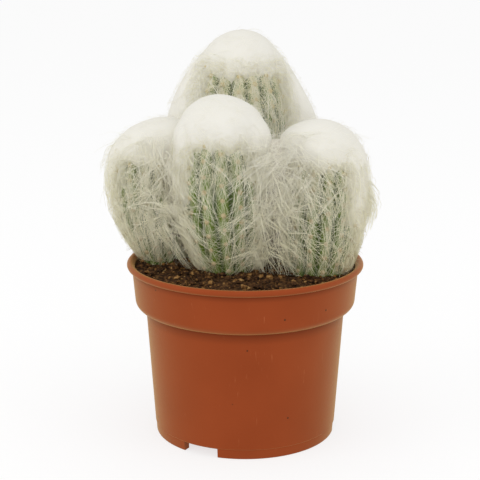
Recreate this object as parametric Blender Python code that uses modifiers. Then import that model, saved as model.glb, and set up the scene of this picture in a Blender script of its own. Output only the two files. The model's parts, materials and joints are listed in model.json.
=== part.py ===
"""A potted espostoa: four ribbed, woolly cactus stems in a soft plastic nursery pot.

Sizes are in metres and +Z is up. Everything is placed from the pot's own axis and
hangs on one empty, which puts the origin under the middle of the whole plant.
"""

import math
import random
from dataclasses import dataclass

import bmesh
import bpy
from mathutils import Matrix, Vector

MM = 0.001

# The pot, a 12 cm nursery pot
RIM_RADIUS = 60.0 * MM
POT_HEIGHT = 90.0 * MM
WALL = 1.2 * MM
LIP_BEAD = 1.6 * MM
BAND_TOP_RADIUS = 57.4 * MM
BAND_FOOT_RADIUS = 56.0 * MM
BAND_FOOT_Z = 66.4 * MM
BAND_CORNER = 4.2 * MM
BODY_TOP_RADIUS = 50.6 * MM
BODY_FOOT_RADIUS = 46.5 * MM
FLOOR_CORNER = 2.5 * MM
FOOT_HEIGHT = 5.0 * MM
FOOT_RADIUS = 46.0 * MM
FOOT_WIDTH = 4.2 * MM
POT_SIDES = 44

# Notches in the foot ring let out the water from the drain holes in the floor
NOTCH_COUNT = 3
NOTCH_WIDTH = 19.0 * MM
NOTCH_MIDDLE_DEG = -119.0
DRAIN_COUNT = 6
DRAIN_RADIUS = 4.0 * MM
DRAIN_CIRCLE = 30.0 * MM

# The soil and the crumbs on it
SOIL_Z = 87.0 * MM
SOIL_WAVE = 0.7 * MM
SOIL_MOUND = 2.5 * MM
SOIL_SIDES = 32
SOIL_RINGS = 5
CRUMB_COUNT = 15
CRUMB_RADII = (1.5 * MM, 3.0 * MM)
GAP = 0.3 * MM

# The stems and the plain holes that they stand in
ROOT_DEPTH = 14.0 * MM
ROOT_TAPER = 0.92
RIB_DEPTH = 2.6 * MM
AREOLE_PITCH = 7.5 * MM
FIRST_AREOLE = 3.5 * MM
DOME_POWER = 2.3
DOME_RINGS = 5
HOLE_SIDES = 24
HOLE_ROOM = 0.45 * MM
HOLE_RISE = 9.0 * MM

# An areole: a felt pad sunk in the rib, with spines that lie flat and stand out by turns
PAD_RADIUS = 0.85 * MM
PAD_HEIGHT = 0.6 * MM
PAD_ROOT = 2.6 * MM
SPINES = 4
SPINE_LENGTHS = (5.4 * MM, 6.6 * MM)
SPINE_LEANS_DEG = (18.0, 58.0)

# The wool over each crown: a thick felt that ends in points, locks that stand out of it,
# and long locks that hang from its edge over every other rib
WOOL_GAP = 0.35 * MM
WOOL_EDGE = 1.6 * MM
WOOL_POINT = 6.5 * MM
WOOL_FRINGE = 1.5 * MM
LOCK_LENGTHS = (6.0 * MM, 9.0 * MM)
LOCK_RADIUS = 0.75 * MM
LOCK_ROOT = 2.4 * MM
LOCK_LEAN_DEG = 18.0
HANGING_RINGS = 6
HANGING_RADIUS = 0.8 * MM
HANGING_OFF = (2.0 * MM, 3.9 * MM)
HANGING_SWAY = 1.3 * MM
NEIGHBOUR_GAP = 0.3 * MM

# The pot's axis from the origin, which lies under the middle of the plant's box
AXIS_X = 5.5 * MM
AXIS_Y = -5.35 * MM

PLASTIC = ((0.48, 0.115, 0.045), 0.42)
PEAT = ((0.09, 0.05, 0.028), 0.95)
FLESH = ((0.13, 0.24, 0.07), 0.6)
WOOL = ((0.86, 0.84, 0.77), 0.9)


@dataclass
class Stem:
    """One cactus column, in millimetres from the pot's axis, with its radii at the rib crests."""

    name: str
    foot: tuple
    crown: tuple
    crown_z: float
    foot_radius: float
    belly_radius: float
    belly_share: float
    ribs: int
    turn_deg: float
    bare_rows: int
    wool_side: float
    wool_top: float
    locks: int
    seed: int


STEMS = (
    Stem("front", (-7.5, -7), (-12, -16), 170.5, 16.5, 22, 0.55, 16, -90, 8, 4.6, 5.2, 44, 11),
    Stem("left", (-41, 10), (-48.5, 12.5), 155.5, 12, 20.5, 0.58, 16, -96, 6, 4.2, 5.2, 38, 12),
    Stem("right", (36, -11.5), (38.5, -10), 158.5, 15.5, 20.5, 0.55, 16, -84, 6, 4.4, 5.2, 38, 13),
    Stem("tall", (-1, 35), (-0.5, 39), 196, 17.5, 27.5, 0.58, 18, -90, 11, 6.8, 5.6, 54, 14),
)


def material(name, colour, roughness):
    made = bpy.data.materials.new(name)
    made.use_nodes = True
    shader = made.node_tree.nodes["Principled BSDF"]
    shader.inputs["Base Color"].default_value = (*colour, 1.0)
    shader.inputs["Roughness"].default_value = roughness
    return made


def new_collection(name, parent, hidden=False):
    made = bpy.data.collections.new(name)
    made.hide_render = hidden
    parent.children.link(made)
    return made


def new_object(name, shape, collection):
    """An object that holds a bmesh, which it uses up."""
    mesh = bpy.data.meshes.new(name)
    shape.to_mesh(mesh)
    shape.free()
    made = bpy.data.objects.new(name, mesh)
    collection.objects.link(made)
    return made


def apply_modifiers(obj):
    bpy.context.view_layer.update()
    graph = bpy.context.evaluated_depsgraph_get()
    mesh = bpy.data.meshes.new_from_object(obj.evaluated_get(graph))
    obj.modifiers.clear()
    obj.data = mesh


def join_all(obj, pieces):
    """Joins a collection's objects to obj in one Boolean union, and removes them."""
    union = obj.modifiers.new("Join", "BOOLEAN")
    union.operation = "UNION"
    union.operand_type = "COLLECTION"
    union.collection = pieces
    apply_modifiers(obj)
    for piece in list(pieces.objects):
        bpy.data.objects.remove(piece)


def cut_by(obj, cutters):
    """Cuts a collection's objects out of obj, and keeps them as hidden guides."""
    cut = obj.modifiers.new("Cut", "BOOLEAN")
    cut.operation = "DIFFERENCE"
    cut.operand_type = "COLLECTION"
    cut.collection = cutters
    for cutter in cutters.objects:
        cutter.hide_render = True
        cutter.display_type = "WIRE"


def arc(radius, middle_r, middle_z, start_deg, end_deg, steps):
    """Points (r, z) along an arc of a turned profile."""
    turns = [math.radians(start_deg + (end_deg - start_deg) * i / steps) for i in range(steps + 1)]
    return [(middle_r + radius * math.cos(a), middle_z + radius * math.sin(a)) for a in turns]


def turned(name, profile, sides, collection):
    """A closed shape turned about Z from a profile of (r, z) points, outer side top to bottom."""
    shape = bmesh.new()
    line = [shape.verts.new((r, 0.0, z)) for r, z in profile]
    for start, end in zip(line, line[1:]):
        shape.edges.new((start, end))
    made = new_object(name, shape, collection)
    screw = made.modifiers.new("Turn", "SCREW")
    screw.steps = screw.render_steps = sides
    screw.use_merge_vertices = True
    screw.merge_threshold = 0.00001
    return made


def shaped_ball(name, rings, columns, place, collection):
    """A sphere with each point moved to place(ring, column). Ring 0 is the top pole."""
    shape = bmesh.new()
    bmesh.ops.create_uvsphere(shape, u_segments=columns, v_segments=rings + 1, radius=1.0)
    bmesh.ops.triangulate(shape, faces=shape.faces, quad_method="FIXED")
    for v in shape.verts:
        ring = round(math.acos(max(-1.0, min(1.0, v.co.z))) / math.pi * (rings + 1))
        column = round(math.atan2(v.co.y, v.co.x) / (2 * math.pi) * columns) % columns
        v.co = place(ring, column)
    return new_object(name, shape, collection)


def pot_inside():
    """The pot's inner wall from its floor corner up to the lip, as (r, z)."""
    corner_r = BODY_FOOT_RADIUS - WALL - FLOOR_CORNER
    corner_z = FOOT_HEIGHT + WALL + FLOOR_CORNER
    return [
        *arc(FLOOR_CORNER, corner_r, corner_z, -90, 0, 1),
        (BODY_TOP_RADIUS - WALL, BAND_FOOT_Z),
        (BAND_FOOT_RADIUS - WALL - 1.2 * MM, BAND_FOOT_Z + 2.6 * MM),
        (BAND_FOOT_RADIUS - WALL, BAND_FOOT_Z + BAND_CORNER + WALL),
        (BAND_TOP_RADIUS - WALL, POT_HEIGHT - LIP_BEAD),
    ]


def pot_outside():
    """The pot's outer side from the rolled lip down to the foot ring, and in under the floor."""
    bead_r = RIM_RADIUS - LIP_BEAD
    bead_z = POT_HEIGHT - LIP_BEAD
    band_r = BAND_FOOT_RADIUS - BAND_CORNER
    return [
        *arc(LIP_BEAD, bead_r, bead_z, 135, -90, 4),
        (BAND_TOP_RADIUS, bead_z - LIP_BEAD - 0.5 * MM),
        *arc(BAND_CORNER, band_r, BAND_FOOT_Z + BAND_CORNER, 0, -80, 3),
        (BODY_TOP_RADIUS + 0.3 * MM, BAND_FOOT_Z - 0.4 * MM),
        (BODY_TOP_RADIUS, BAND_FOOT_Z - 1.4 * MM),
        (BODY_FOOT_RADIUS, FOOT_HEIGHT + 0.4 * MM),
        (FOOT_RADIUS, 0.5 * MM),
        (FOOT_RADIUS - 0.5 * MM, 0.0),
        (FOOT_RADIUS - FOOT_WIDTH, 0.0),
        (FOOT_RADIUS - FOOT_WIDTH, FOOT_HEIGHT),
        (0.0, FOOT_HEIGHT),
    ]


def around(count, radius, z):
    """Evenly spaced places round the pot's foot, in line with its notches: (turn, place)."""
    turns = [math.radians(NOTCH_MIDDLE_DEG) + 2 * math.pi * i / count for i in range(count)]
    return [(a, Vector((radius * math.cos(a), radius * math.sin(a), z))) for a in turns]


def make_pot(collection, cutters):
    """The thin stepped pot: rolled lip, band, tapered body and a notched standing ring."""
    profile = [(0.0, FOOT_HEIGHT + WALL), *pot_inside(), *pot_outside()]
    pot = turned("pot", profile, POT_SIDES, collection)
    notch_size = (3 * FOOT_WIDTH, NOTCH_WIDTH, 2 * FOOT_HEIGHT)
    for turn, place in around(NOTCH_COUNT, FOOT_RADIUS - FOOT_WIDTH / 2, -0.2 * MM):
        shape = bmesh.new()
        bmesh.ops.create_cube(shape, size=1.0, matrix=Matrix.Diagonal((*notch_size, 1.0)))
        notch = new_object("notch", shape, cutters)
        notch.location = place
        notch.rotation_euler.z = turn
    for _, place in around(DRAIN_COUNT, DRAIN_CIRCLE, FOOT_HEIGHT):
        shape = bmesh.new()
        bmesh.ops.create_cone(
            shape,
            cap_ends=True,
            segments=12,
            radius1=DRAIN_RADIUS,
            radius2=DRAIN_RADIUS,
            depth=6 * WALL,
        )
        new_object("drain", shape, cutters).location = place
    cut_by(pot, cutters)
    return pot


def soil_height(x, y):
    wave = math.sin(x / (5.1 * MM) + 0.7) * math.cos(y / (4.3 * MM))
    wave += 0.6 * math.sin((x + 1.7 * y) / (7.9 * MM))
    mound = 1 - (x * x + y * y) / BAND_TOP_RADIUS**2
    return SOIL_Z + SOIL_WAVE * wave + SOIL_MOUND * mound


def make_crumbs(reach, pieces):
    """Rough lumps of peat, half sunk in the soil between the stems."""
    rng = random.Random(5)
    while len(pieces.objects) < CRUMB_COUNT:
        far = reach * math.sqrt(rng.random())
        turn = rng.uniform(0, 2 * math.pi)
        radius = rng.uniform(*CRUMB_RADII)
        x, y = far * math.cos(turn), far * math.sin(turn)
        clear = [math.hypot(x / MM - s.foot[0], y / MM - s.foot[1]) - s.foot_radius for s in STEMS]
        if min(clear) < 1.0:
            continue
        shape = bmesh.new()
        bmesh.ops.create_icosphere(shape, subdivisions=1, radius=radius)
        for v in shape.verts:
            v.co *= rng.uniform(0.75, 1.15)
        crumb = new_object("crumb", shape, pieces)
        crumb.location = (x, y, soil_height(x, y) + 0.15 * radius)


def make_soil(collection, cutters, pieces):
    """Soil fills the pot to just under its lip, with a plain hole for each stem."""
    edge = BAND_TOP_RADIUS - WALL - 2 * GAP
    top = [(edge * i / SOIL_RINGS, SOIL_Z) for i in range(SOIL_RINGS + 1)]
    side = [(r - GAP, z) for r, z in pot_inside()[:-1]]
    side[0] = (side[0][0], side[0][1] + GAP)
    profile = [*top, *side[::-1], (0.0, side[0][1])]
    soil = turned("soil", profile, SOIL_SIDES, collection)
    apply_modifiers(soil)
    for v in soil.data.vertices:
        if v.co.z > SOIL_Z - GAP:
            v.co.z = soil_height(v.co.x, v.co.y)
    make_crumbs(edge - 5 * MM, pieces)
    join_all(soil, pieces)
    for stem in STEMS:
        make_hole(stem, cutters)
    cut_by(soil, cutters)
    return soil


def height_of(stem):
    return stem.crown_z * MM - SOIL_Z


def axis_point(stem, share):
    """The middle of the stem at a share of its height. It leans most near the soil."""
    lean = 1 - (1 - max(share, 0.0)) ** 2
    flat = Vector(stem.foot).lerp(Vector(stem.crown), lean) * MM
    return Vector((flat.x, flat.y, SOIL_Z + height_of(stem) * share))


def crest_radius(stem, share):
    """The radius at the crests: a narrow foot, a belly, then a dome that closes at the crown."""
    foot, belly = stem.foot_radius * MM, stem.belly_radius * MM
    if share <= stem.belly_share:
        t = max(share, 0.0) / stem.belly_share
        return foot + (belly - foot) * (1 - (1 - t) ** 2.2)
    t = min((share - stem.belly_share) / (1 - stem.belly_share), 1.0)
    return belly * math.sqrt(1 - t**DOME_POWER)


def rib_depth(stem, share):
    """Ribs rise from the plain root, and run out at the crown."""
    rise = min(max(share * 12, 0.0), 1.0)
    crown = crest_radius(stem, share) / (stem.belly_radius * MM)
    return RIB_DEPTH * rise * min(1.0, crown * 1.3)


def bare_share(stem, row):
    """The height share of a row of areoles, counted up from the soil."""
    return (FIRST_AREOLE + AREOLE_PITCH * row) / height_of(stem)


def dome_shares(stem):
    """Height shares of the rings from just under the crown down to the last bare row."""
    start = bare_share(stem, stem.bare_rows - 1)
    angles = [(1 - i / (DOME_RINGS + 0.6)) ** 1.15 * math.pi / 2 for i in range(1, DOME_RINGS)]
    return [start + (1 - start) * math.sin(angle) for angle in angles] + [start]


def flat_way(turn):
    return Vector((math.cos(turn), math.sin(turn), 0.0))


def skin_frame(stem, share, turn):
    """A smooth stem's outward, upward and sideways directions at a height share and a turn."""
    low, high = max(share - 0.004, 0.0), min(share + 0.004, 0.998)
    rise = axis_point(stem, high) - axis_point(stem, low)
    grow = crest_radius(stem, high) - crest_radius(stem, low)
    up = (rise + flat_way(turn) * grow).normalized()
    side = flat_way(turn + math.pi / 2)
    return side.cross(up).normalized(), up, side


def turn_of(stem, column):
    return math.radians(stem.turn_deg) + math.pi * column / stem.ribs


def skin_point(stem, share, column):
    """A point on the ribbed skin: even columns run along the crests, odd ones in the furrows."""
    radius = crest_radius(stem, share) - (column % 2) * rib_depth(stem, share)
    return axis_point(stem, share) + flat_way(turn_of(stem, column)) * radius


def make_hole(stem, cutters):
    """The hole for a stem's root, which opens out with the stem above the soil."""
    rises = (HOLE_RISE, HOLE_RISE / 2, 0.0, -ROOT_DEPTH - GAP)

    def place(ring, column):
        rise = rises[min(max(ring - 1, 0), len(rises) - 1)]
        share = max(rise, 0.0) / height_of(stem)
        taper = ROOT_TAPER if rise < 0 else 1.0
        radius = (crest_radius(stem, share) * taper + HOLE_ROOM) / math.cos(math.pi / HOLE_SIDES)
        middle = axis_point(stem, share)
        middle.z = SOIL_Z + rise
        if ring in (0, len(rises) + 1):
            return middle
        return middle + flat_way(2 * math.pi * column / HOLE_SIDES) * radius

    shaped_ball(f"hole_{stem.name}", len(rises), HOLE_SIDES, place, cutters)


def midway_planes(stem):
    """Planes half way to each neighbour, as (point, normal towards the neighbour)."""
    found = []
    for other in STEMS:
        if other is stem:
            continue
        marks = []
        for z in (SOIL_Z, SOIL_Z + 42 * MM):
            shares = [(z - SOIL_Z) / height_of(s) for s in (stem, other)]
            here, there = axis_point(stem, shares[0]), axis_point(other, shares[1])
            radius, beyond = crest_radius(stem, shares[0]), crest_radius(other, shares[1])
            across = there - here
            free = across.length - radius - beyond
            marks.append(here + across.normalized() * (radius + free / 2))
        level = Vector((-across.y, across.x, 0.0))
        normal = level.cross(marks[1] - marks[0]).normalized()
        if normal.dot(across) < 0:
            normal = -normal
        found.append((marks[0], normal))
    return found


def over_plane(point, planes):
    """How far a point reaches past the nearest plane, or past the gap kept to it."""
    return max((point - mark).dot(normal) for mark, normal in planes) + NEIGHBOUR_GAP / 2


def held_back(point, planes):
    """The point, moved back behind any plane that it has crossed."""
    for _ in range(3):
        for mark, normal in planes:
            over = (point - mark).dot(normal) + NEIGHBOUR_GAP / 2
            if over > 0:
                point = point - normal * over
    return point


def axes_matrix(side, up, out, place):
    """A placing matrix whose X, Y and Z axes are the three directions."""
    return Matrix.Translation(place) @ Matrix((side, up, out)).transposed().to_4x4()


def areole(rng):
    """A five-sided pad with each of its upper faces drawn out to a spine."""
    shape = bmesh.new()
    bmesh.ops.create_uvsphere(shape, u_segments=SPINES, v_segments=2, radius=PAD_RADIUS)
    for v in shape.verts:
        if abs(v.co.z) > PAD_RADIUS / 2:
            v.co = (0.0, 0.0, PAD_HEIGHT if v.co.z > 0 else -PAD_ROOT)
    upper = [face for face in shape.faces if face.calc_center_median().z > 0]
    spines = bmesh.ops.poke(shape, faces=upper)["verts"]
    for i, tip in enumerate(spines):
        lean = math.radians(SPINE_LEANS_DEG[i % 2] + rng.uniform(-6, 6))
        flat = Vector((tip.co.x, tip.co.y, 0.0)).normalized()
        way = flat * math.cos(lean) + Vector((0, 0, 1)) * math.sin(lean)
        tip.co = way * rng.uniform(*SPINE_LENGTHS)
    bmesh.ops.rotate(shape, matrix=Matrix.Rotation(rng.uniform(0, 1.3), 3, "Z"), verts=shape.verts)
    return shape


def root_at_foot(obj, stem):
    """Puts the object's own origin in the middle of the stem's foot."""
    foot = axis_point(stem, 0.0)
    obj.data.transform(Matrix.Translation(-foot))
    obj.location = foot


def make_stem(stem, collection, pieces):
    """A ribbed column with its root, and an areole at each row on every other crest."""
    rows = [bare_share(stem, row) for row in range(stem.bare_rows)]
    shares = dome_shares(stem)[1:-1:2] + rows[::-1]
    rings = len(shares) + 2

    def place(ring, column):
        if ring == 0:
            return axis_point(stem, 1.0)
        if ring <= len(shares):
            return skin_point(stem, shares[ring - 1], column)
        foot = axis_point(stem, 0.0)
        radius = crest_radius(stem, 0.0)
        if ring > len(shares) + 1:
            foot.z -= ROOT_DEPTH
            radius *= ROOT_TAPER
        return foot + flat_way(turn_of(stem, column)) * radius * (ring <= rings)

    body = shaped_ball(f"stem_{stem.name}", rings, 2 * stem.ribs, place, collection)
    rng = random.Random(stem.seed)
    planes = midway_planes(stem)
    for share in rows[1:-2]:
        for rib in range(0, stem.ribs, 2):
            out, up, side = skin_frame(stem, share, turn_of(stem, 2 * rib))
            shape = areole(rng)
            seat = axes_matrix(side, up, out, skin_point(stem, share, 2 * rib))
            bmesh.ops.transform(shape, matrix=seat, verts=shape.verts)
            if max(over_plane(v.co, planes) for v in shape.verts) > 0:
                shape.free()
                continue
            new_object("areole", shape, pieces)
    join_all(body, pieces)
    root_at_foot(body, stem)
    return body


def wool_point(stem, share, turn, planes):
    """A point on the wool's outer face, which thickens from its edge to the crown."""
    out, _, _ = skin_frame(stem, share, turn)
    edge = bare_share(stem, stem.bare_rows - 2)
    t = min(max((share - edge) / (1 - edge), 0.0), 1.0)
    side, top = stem.wool_side * MM, stem.wool_top * MM
    thick = WOOL_EDGE + (side - WOOL_EDGE) * min(t * 3.2, 1.0) + (top - side) * t * t
    thick *= 1 + 0.05 * math.sin(5 * turn + stem.seed) + 0.04 * math.sin(9 * turn)
    skin = axis_point(stem, share) + flat_way(turn) * crest_radius(stem, share)
    return held_back(skin + out * thick, planes)


def make_lock(stem, planes, rng, pieces):
    """A pointed lock of wool, rooted in the felt and lying up and outwards."""
    turn = rng.uniform(0, 2 * math.pi)
    start = bare_share(stem, stem.bare_rows - 1)
    share = start + (1 - start) * rng.uniform(0.05, 0.96) ** 0.75
    sweep = rng.uniform(-0.4, 0.4)
    length = rng.uniform(*LOCK_LENGTHS)
    out, up, side = skin_frame(stem, share, turn)
    skin = wool_point(stem, share, turn, planes)
    lean = math.radians(LOCK_LEAN_DEG)
    way = (up + side * sweep).normalized() * math.cos(lean) + out * math.sin(lean)
    tip = skin + way * length
    root = skin - out * LOCK_ROOT
    if over_plane(tip, planes) > 0 or over_plane(skin, planes) > -1 * MM:
        return
    shape = bmesh.new()
    bmesh.ops.create_cone(
        shape,
        cap_ends=True,
        segments=3,
        radius1=LOCK_RADIUS,
        radius2=0.0,
        depth=(tip - root).length,
    )
    along = (tip - root).normalized()
    across = along.cross(out).normalized()
    seat = axes_matrix(across, along.cross(across), along, (tip + root) / 2)
    bmesh.ops.transform(shape, matrix=seat, verts=shape.verts)
    new_object("lock", shape, pieces)


def make_hanging_lock(stem, rib, planes, rng, pieces):
    """A long lock that hangs from the wool's edge over a rib with no spines, down to the soil."""
    turn = turn_of(stem, 2 * rib)
    top = bare_share(stem, stem.bare_rows - 1) + 0.06
    end = rng.uniform(0.08, 0.2)
    phase = rng.uniform(0, 2 * math.pi)

    def place(ring, column):
        down = ring / (HANGING_RINGS + 1)
        share = top + (end - top) * down
        out, _, side = skin_frame(stem, share, turn)
        off = HANGING_OFF[0] + (HANGING_OFF[1] - HANGING_OFF[0]) * math.sin(math.pi * down) ** 2
        sway = HANGING_SWAY * math.sin(6 * down + phase)
        radius = HANGING_RADIUS * (1.15 - down)
        middle = axis_point(stem, share) + flat_way(turn) * crest_radius(stem, share)
        middle += out * off + side * sway
        if ring in (0, HANGING_RINGS + 1):
            return middle
        a = 2 * math.pi * column / 3
        return middle + (side * math.cos(a) - out * math.sin(a)) * radius

    lock = shaped_ball("hanging_lock", HANGING_RINGS, 3, place, pieces)
    if max(over_plane(v.co, planes) for v in lock.data.vertices) > 0:
        bpy.data.objects.remove(lock)


def make_wool(stem, collection, pieces):
    """The wool over the crown, as a bell whose lower edge hangs down in points, with its locks."""
    planes = midway_planes(stem)
    dome = dome_shares(stem)
    outside = [*dome, dome[-1]]
    inside = [dome[-1], dome[-1], *dome[1:-1:2][::-1]]
    rings = len(outside) + len(inside)

    def place(ring, column):
        crown = axis_point(stem, 1.0)
        if ring == 0:
            return crown + Vector((0, 0, stem.wool_top * MM))
        if ring > rings:
            return crown + Vector((0, 0, WOOL_GAP))
        share = [*outside, *inside][ring - 1]
        if ring in (len(outside), len(outside) + 1):
            share -= (WOOL_FRINGE if column % 4 else WOOL_POINT) / height_of(stem)
        turn = turn_of(stem, column)
        if ring <= len(outside):
            return wool_point(stem, share, turn, planes)
        out, _, _ = skin_frame(stem, share, turn)
        return axis_point(stem, share) + flat_way(turn) * crest_radius(stem, share) + out * WOOL_GAP

    wool = shaped_ball(f"wool_{stem.name}", rings, 2 * stem.ribs, place, collection)
    rng = random.Random(stem.seed + 100)
    for _ in range(stem.locks):
        make_lock(stem, planes, rng, pieces)
    for rib in range(1, stem.ribs, 2):
        make_hanging_lock(stem, rib, planes, rng, pieces)
    join_all(wool, pieces)
    root_at_foot(wool, stem)
    return wool


def main():
    for obj in list(bpy.data.objects):
        bpy.data.objects.remove(obj)
    scene = bpy.context.scene.collection
    plant = new_collection("potted_espostoa", scene)
    cutters = new_collection("cutters", scene, hidden=True)
    pot_cutters = new_collection("pot_cutters", cutters)
    soil_cutters = new_collection("soil_cutters", cutters)
    pieces = new_collection("pieces_to_join", cutters)

    plastic = material("terracotta_plastic", *PLASTIC)
    peat = material("peat_soil", *PEAT)
    flesh = material("green_flesh", *FLESH)
    wool = material("white_wool", *WOOL)

    made = [(make_pot(plant, pot_cutters), plastic), (make_soil(plant, soil_cutters, pieces), peat)]
    for stem in STEMS:
        made.append((make_stem(stem, plant, pieces), flesh))
        made.append((make_wool(stem, plant, pieces), wool))
    for obj, finish in made:
        obj.data.materials.clear()
        obj.data.materials.append(finish)
        obj.data.shade_smooth()
        obj.data.set_sharp_from_angle(angle=math.radians(35))

    frame = bpy.data.objects.new("plant_frame", None)
    plant.objects.link(frame)
    frame.location = (AXIS_X, AXIS_Y, 0.0)
    for obj in [*plant.objects, *cutters.all_objects]:
        if obj is not frame:
            obj.parent = frame


main()
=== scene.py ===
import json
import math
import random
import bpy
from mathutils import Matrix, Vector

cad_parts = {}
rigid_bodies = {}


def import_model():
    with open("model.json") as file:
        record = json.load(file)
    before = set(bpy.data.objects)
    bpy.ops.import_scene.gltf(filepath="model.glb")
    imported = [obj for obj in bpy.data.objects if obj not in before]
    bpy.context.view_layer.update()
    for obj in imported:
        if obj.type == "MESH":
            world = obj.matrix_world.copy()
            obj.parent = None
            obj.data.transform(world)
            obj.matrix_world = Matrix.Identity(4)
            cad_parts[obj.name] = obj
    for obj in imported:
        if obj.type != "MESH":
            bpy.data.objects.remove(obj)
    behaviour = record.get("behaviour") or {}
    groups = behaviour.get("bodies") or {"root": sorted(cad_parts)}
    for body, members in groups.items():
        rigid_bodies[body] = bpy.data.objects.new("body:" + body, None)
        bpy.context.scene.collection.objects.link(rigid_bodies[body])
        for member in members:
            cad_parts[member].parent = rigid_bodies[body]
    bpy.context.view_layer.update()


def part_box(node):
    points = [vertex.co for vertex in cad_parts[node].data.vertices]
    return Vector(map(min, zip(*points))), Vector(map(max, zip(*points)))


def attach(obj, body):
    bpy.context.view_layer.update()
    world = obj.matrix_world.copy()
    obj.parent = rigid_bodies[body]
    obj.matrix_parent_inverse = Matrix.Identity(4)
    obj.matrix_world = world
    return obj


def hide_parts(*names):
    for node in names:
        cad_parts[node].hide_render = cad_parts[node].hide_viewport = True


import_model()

# %% [markdown]
# A potted espostoa is a small group of columnar cacti that wear a coat of white wool.
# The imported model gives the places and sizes; this script dresses it: a moulded plastic pot,
# crumbly peat, ribbed green stems, and several kinds of hair, each grown where the plant grows it.
# Lengths are in metres. MM keeps the small sizes readable.

# %% Values and modules that every step uses
from types import SimpleNamespace

import bmesh
import bpy
from mathutils import Vector

MM = 0.001
POT_LOW, POT_HIGH = (Vector(corner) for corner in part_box("pot"))
POT_AXIS = (POT_LOW + POT_HIGH) / 2
POT_AXIS.z = 0.0
RIM_RADIUS = 60.0 * MM
POT_HEIGHT = POT_HIGH.z
SOIL_Z = 87.0 * MM
print("pot axis", [round(c / MM, 2) for c in POT_AXIS], "mm, pot height", round(POT_HEIGHT / MM, 1), "mm")

# %% [markdown]
# Shader trees and geometry trees are wired by the same calls, so one small helper adds a node
# and fills its inputs. An input may be given a plain value or another node's output socket.

# %% Helpers that wire node trees
def add(tree, kind, values=None, **settings):
    """Adds a node, sets its options, and links or sets its inputs by name or number."""
    made = tree.nodes.new(kind)
    for name, value in settings.items():
        setattr(made, name, value)
    for key, value in (values or {}).items():
        if isinstance(value, bpy.types.NodeSocket):
            tree.links.new(value, made.inputs[key])
        else:
            made.inputs[key].default_value = value
    return made


def calc(tree, operation, *terms):
    """A Math node's output."""
    return add(tree, "ShaderNodeMath", dict(enumerate(terms)), operation=operation).outputs[0]


def vector(tree, operation, *terms):
    """A Vector Math node's output."""
    return add(tree, "ShaderNodeVectorMath", dict(enumerate(terms)), operation=operation).outputs[0]


def scaled(tree, direction, factor):
    """A direction times a number."""
    return add(tree, "ShaderNodeVectorMath", {0: direction, "Scale": factor}, operation="SCALE").outputs[0]


def total(tree, *terms):
    """The sum of several vectors."""
    sum_so_far = terms[0]
    for term in terms[1:]:
        sum_so_far = vector(tree, "ADD", sum_so_far, term)
    return sum_so_far


def ramp(tree, factor, stops):
    """A colour ramp from (place, colour) stops."""
    made = add(tree, "ShaderNodeValToRGB", {"Fac": factor})
    elements = made.color_ramp.elements
    while len(elements) < len(stops):
        elements.new(0.5)
    for element, (place, colour) in zip(elements, stops):
        element.position = place
        element.color = (*colour, 1.0)
    return made.outputs["Color"]


def between(tree, factor, low, high, to_low=0.0, to_high=1.0):
    """A value mapped from one range to another, and held inside it."""
    values = {"Value": factor, "From Min": low, "From Max": high, "To Min": to_low, "To Max": to_high}
    return add(tree, "ShaderNodeMapRange", values).outputs["Result"]


def mix_colour(tree, factor, first, second):
    """A blend of two colours. A Mix node takes colours at its inputs 6 and 7, and gives one at output 2."""
    made = add(tree, "ShaderNodeMix", {"Factor": factor}, data_type="RGBA")
    for socket, value in ((made.inputs[6], first), (made.inputs[7], second)):
        if isinstance(value, bpy.types.NodeSocket):
            tree.links.new(value, socket)
        else:
            socket.default_value = (*value, 1.0)
    return made.outputs[2]


def noise(tree, place, size, detail=2.0, **settings):
    """A noise texture whose features are about size across."""
    values = {"Vector": place, "Scale": 1.0 / size, "Detail": detail}
    return add(tree, "ShaderNodeTexNoise", values, **settings)


def new_group(name, kind, inputs, outputs):
    """A node group with named sockets, and its two end nodes."""
    group = bpy.data.node_groups.new(name, kind)
    for (socket, socket_type), direction in [(s, "INPUT") for s in inputs] + [(s, "OUTPUT") for s in outputs]:
        group.interface.new_socket(name=socket, in_out=direction, socket_type=socket_type)
    return group, add(group, "NodeGroupInput").outputs, add(group, "NodeGroupOutput").inputs


def new_material(name, roughness, **sockets):
    """A material with its Principled shader and object coordinates ready to wire."""
    made = bpy.data.materials.new(name)
    made.use_nodes = True
    tree = made.node_tree
    shader = tree.nodes["Principled BSDF"]
    shader.inputs["Roughness"].default_value = roughness
    for socket, value in sockets.items():
        shader.inputs[socket.replace("_", " ")].default_value = value
    place = add(tree, "ShaderNodeTexCoord").outputs["Object"]
    return made, tree, shader, place


print("helpers ready")

# %% [markdown]
# Fine grain is an effect that several finishes share: plastic, skin, felt and peat all have
# small bumps and a slight change of tone. It is a node group with the grain's size as an input,
# so each material uses the same few nodes at its own scale.

# %% The shared grain group
grain_group, gin, gout = new_group(
    "Fine grain",
    "ShaderNodeTree",
    [("Place", "NodeSocketVector"), ("Size", "NodeSocketFloat"), ("Strength", "NodeSocketFloat")],
    [("Tone", "NodeSocketFloat"), ("Normal", "NodeSocketVector")],
)
grain_scale = calc(grain_group, "DIVIDE", 1.0, gin["Size"])
fine = add(grain_group, "ShaderNodeTexNoise", {"Vector": gin["Place"], "Scale": grain_scale, "Detail": 4.0})
bump = add(
    grain_group,
    "ShaderNodeBump",
    {"Height": fine.outputs["Fac"], "Strength": gin["Strength"], "Distance": 0.2 * MM},
)
grain_group.links.new(fine.outputs["Fac"], gout["Tone"])
grain_group.links.new(bump.outputs["Normal"], gout["Normal"])


def grain(tree, place, size, strength):
    """Places the shared grain in a material. Its outputs are Tone and Normal."""
    values = {"Place": place, "Size": size, "Strength": strength}
    return add(tree, "ShaderNodeGroup", values, node_tree=grain_group)


print("grain group:", len(grain_group.nodes), "nodes")

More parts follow.
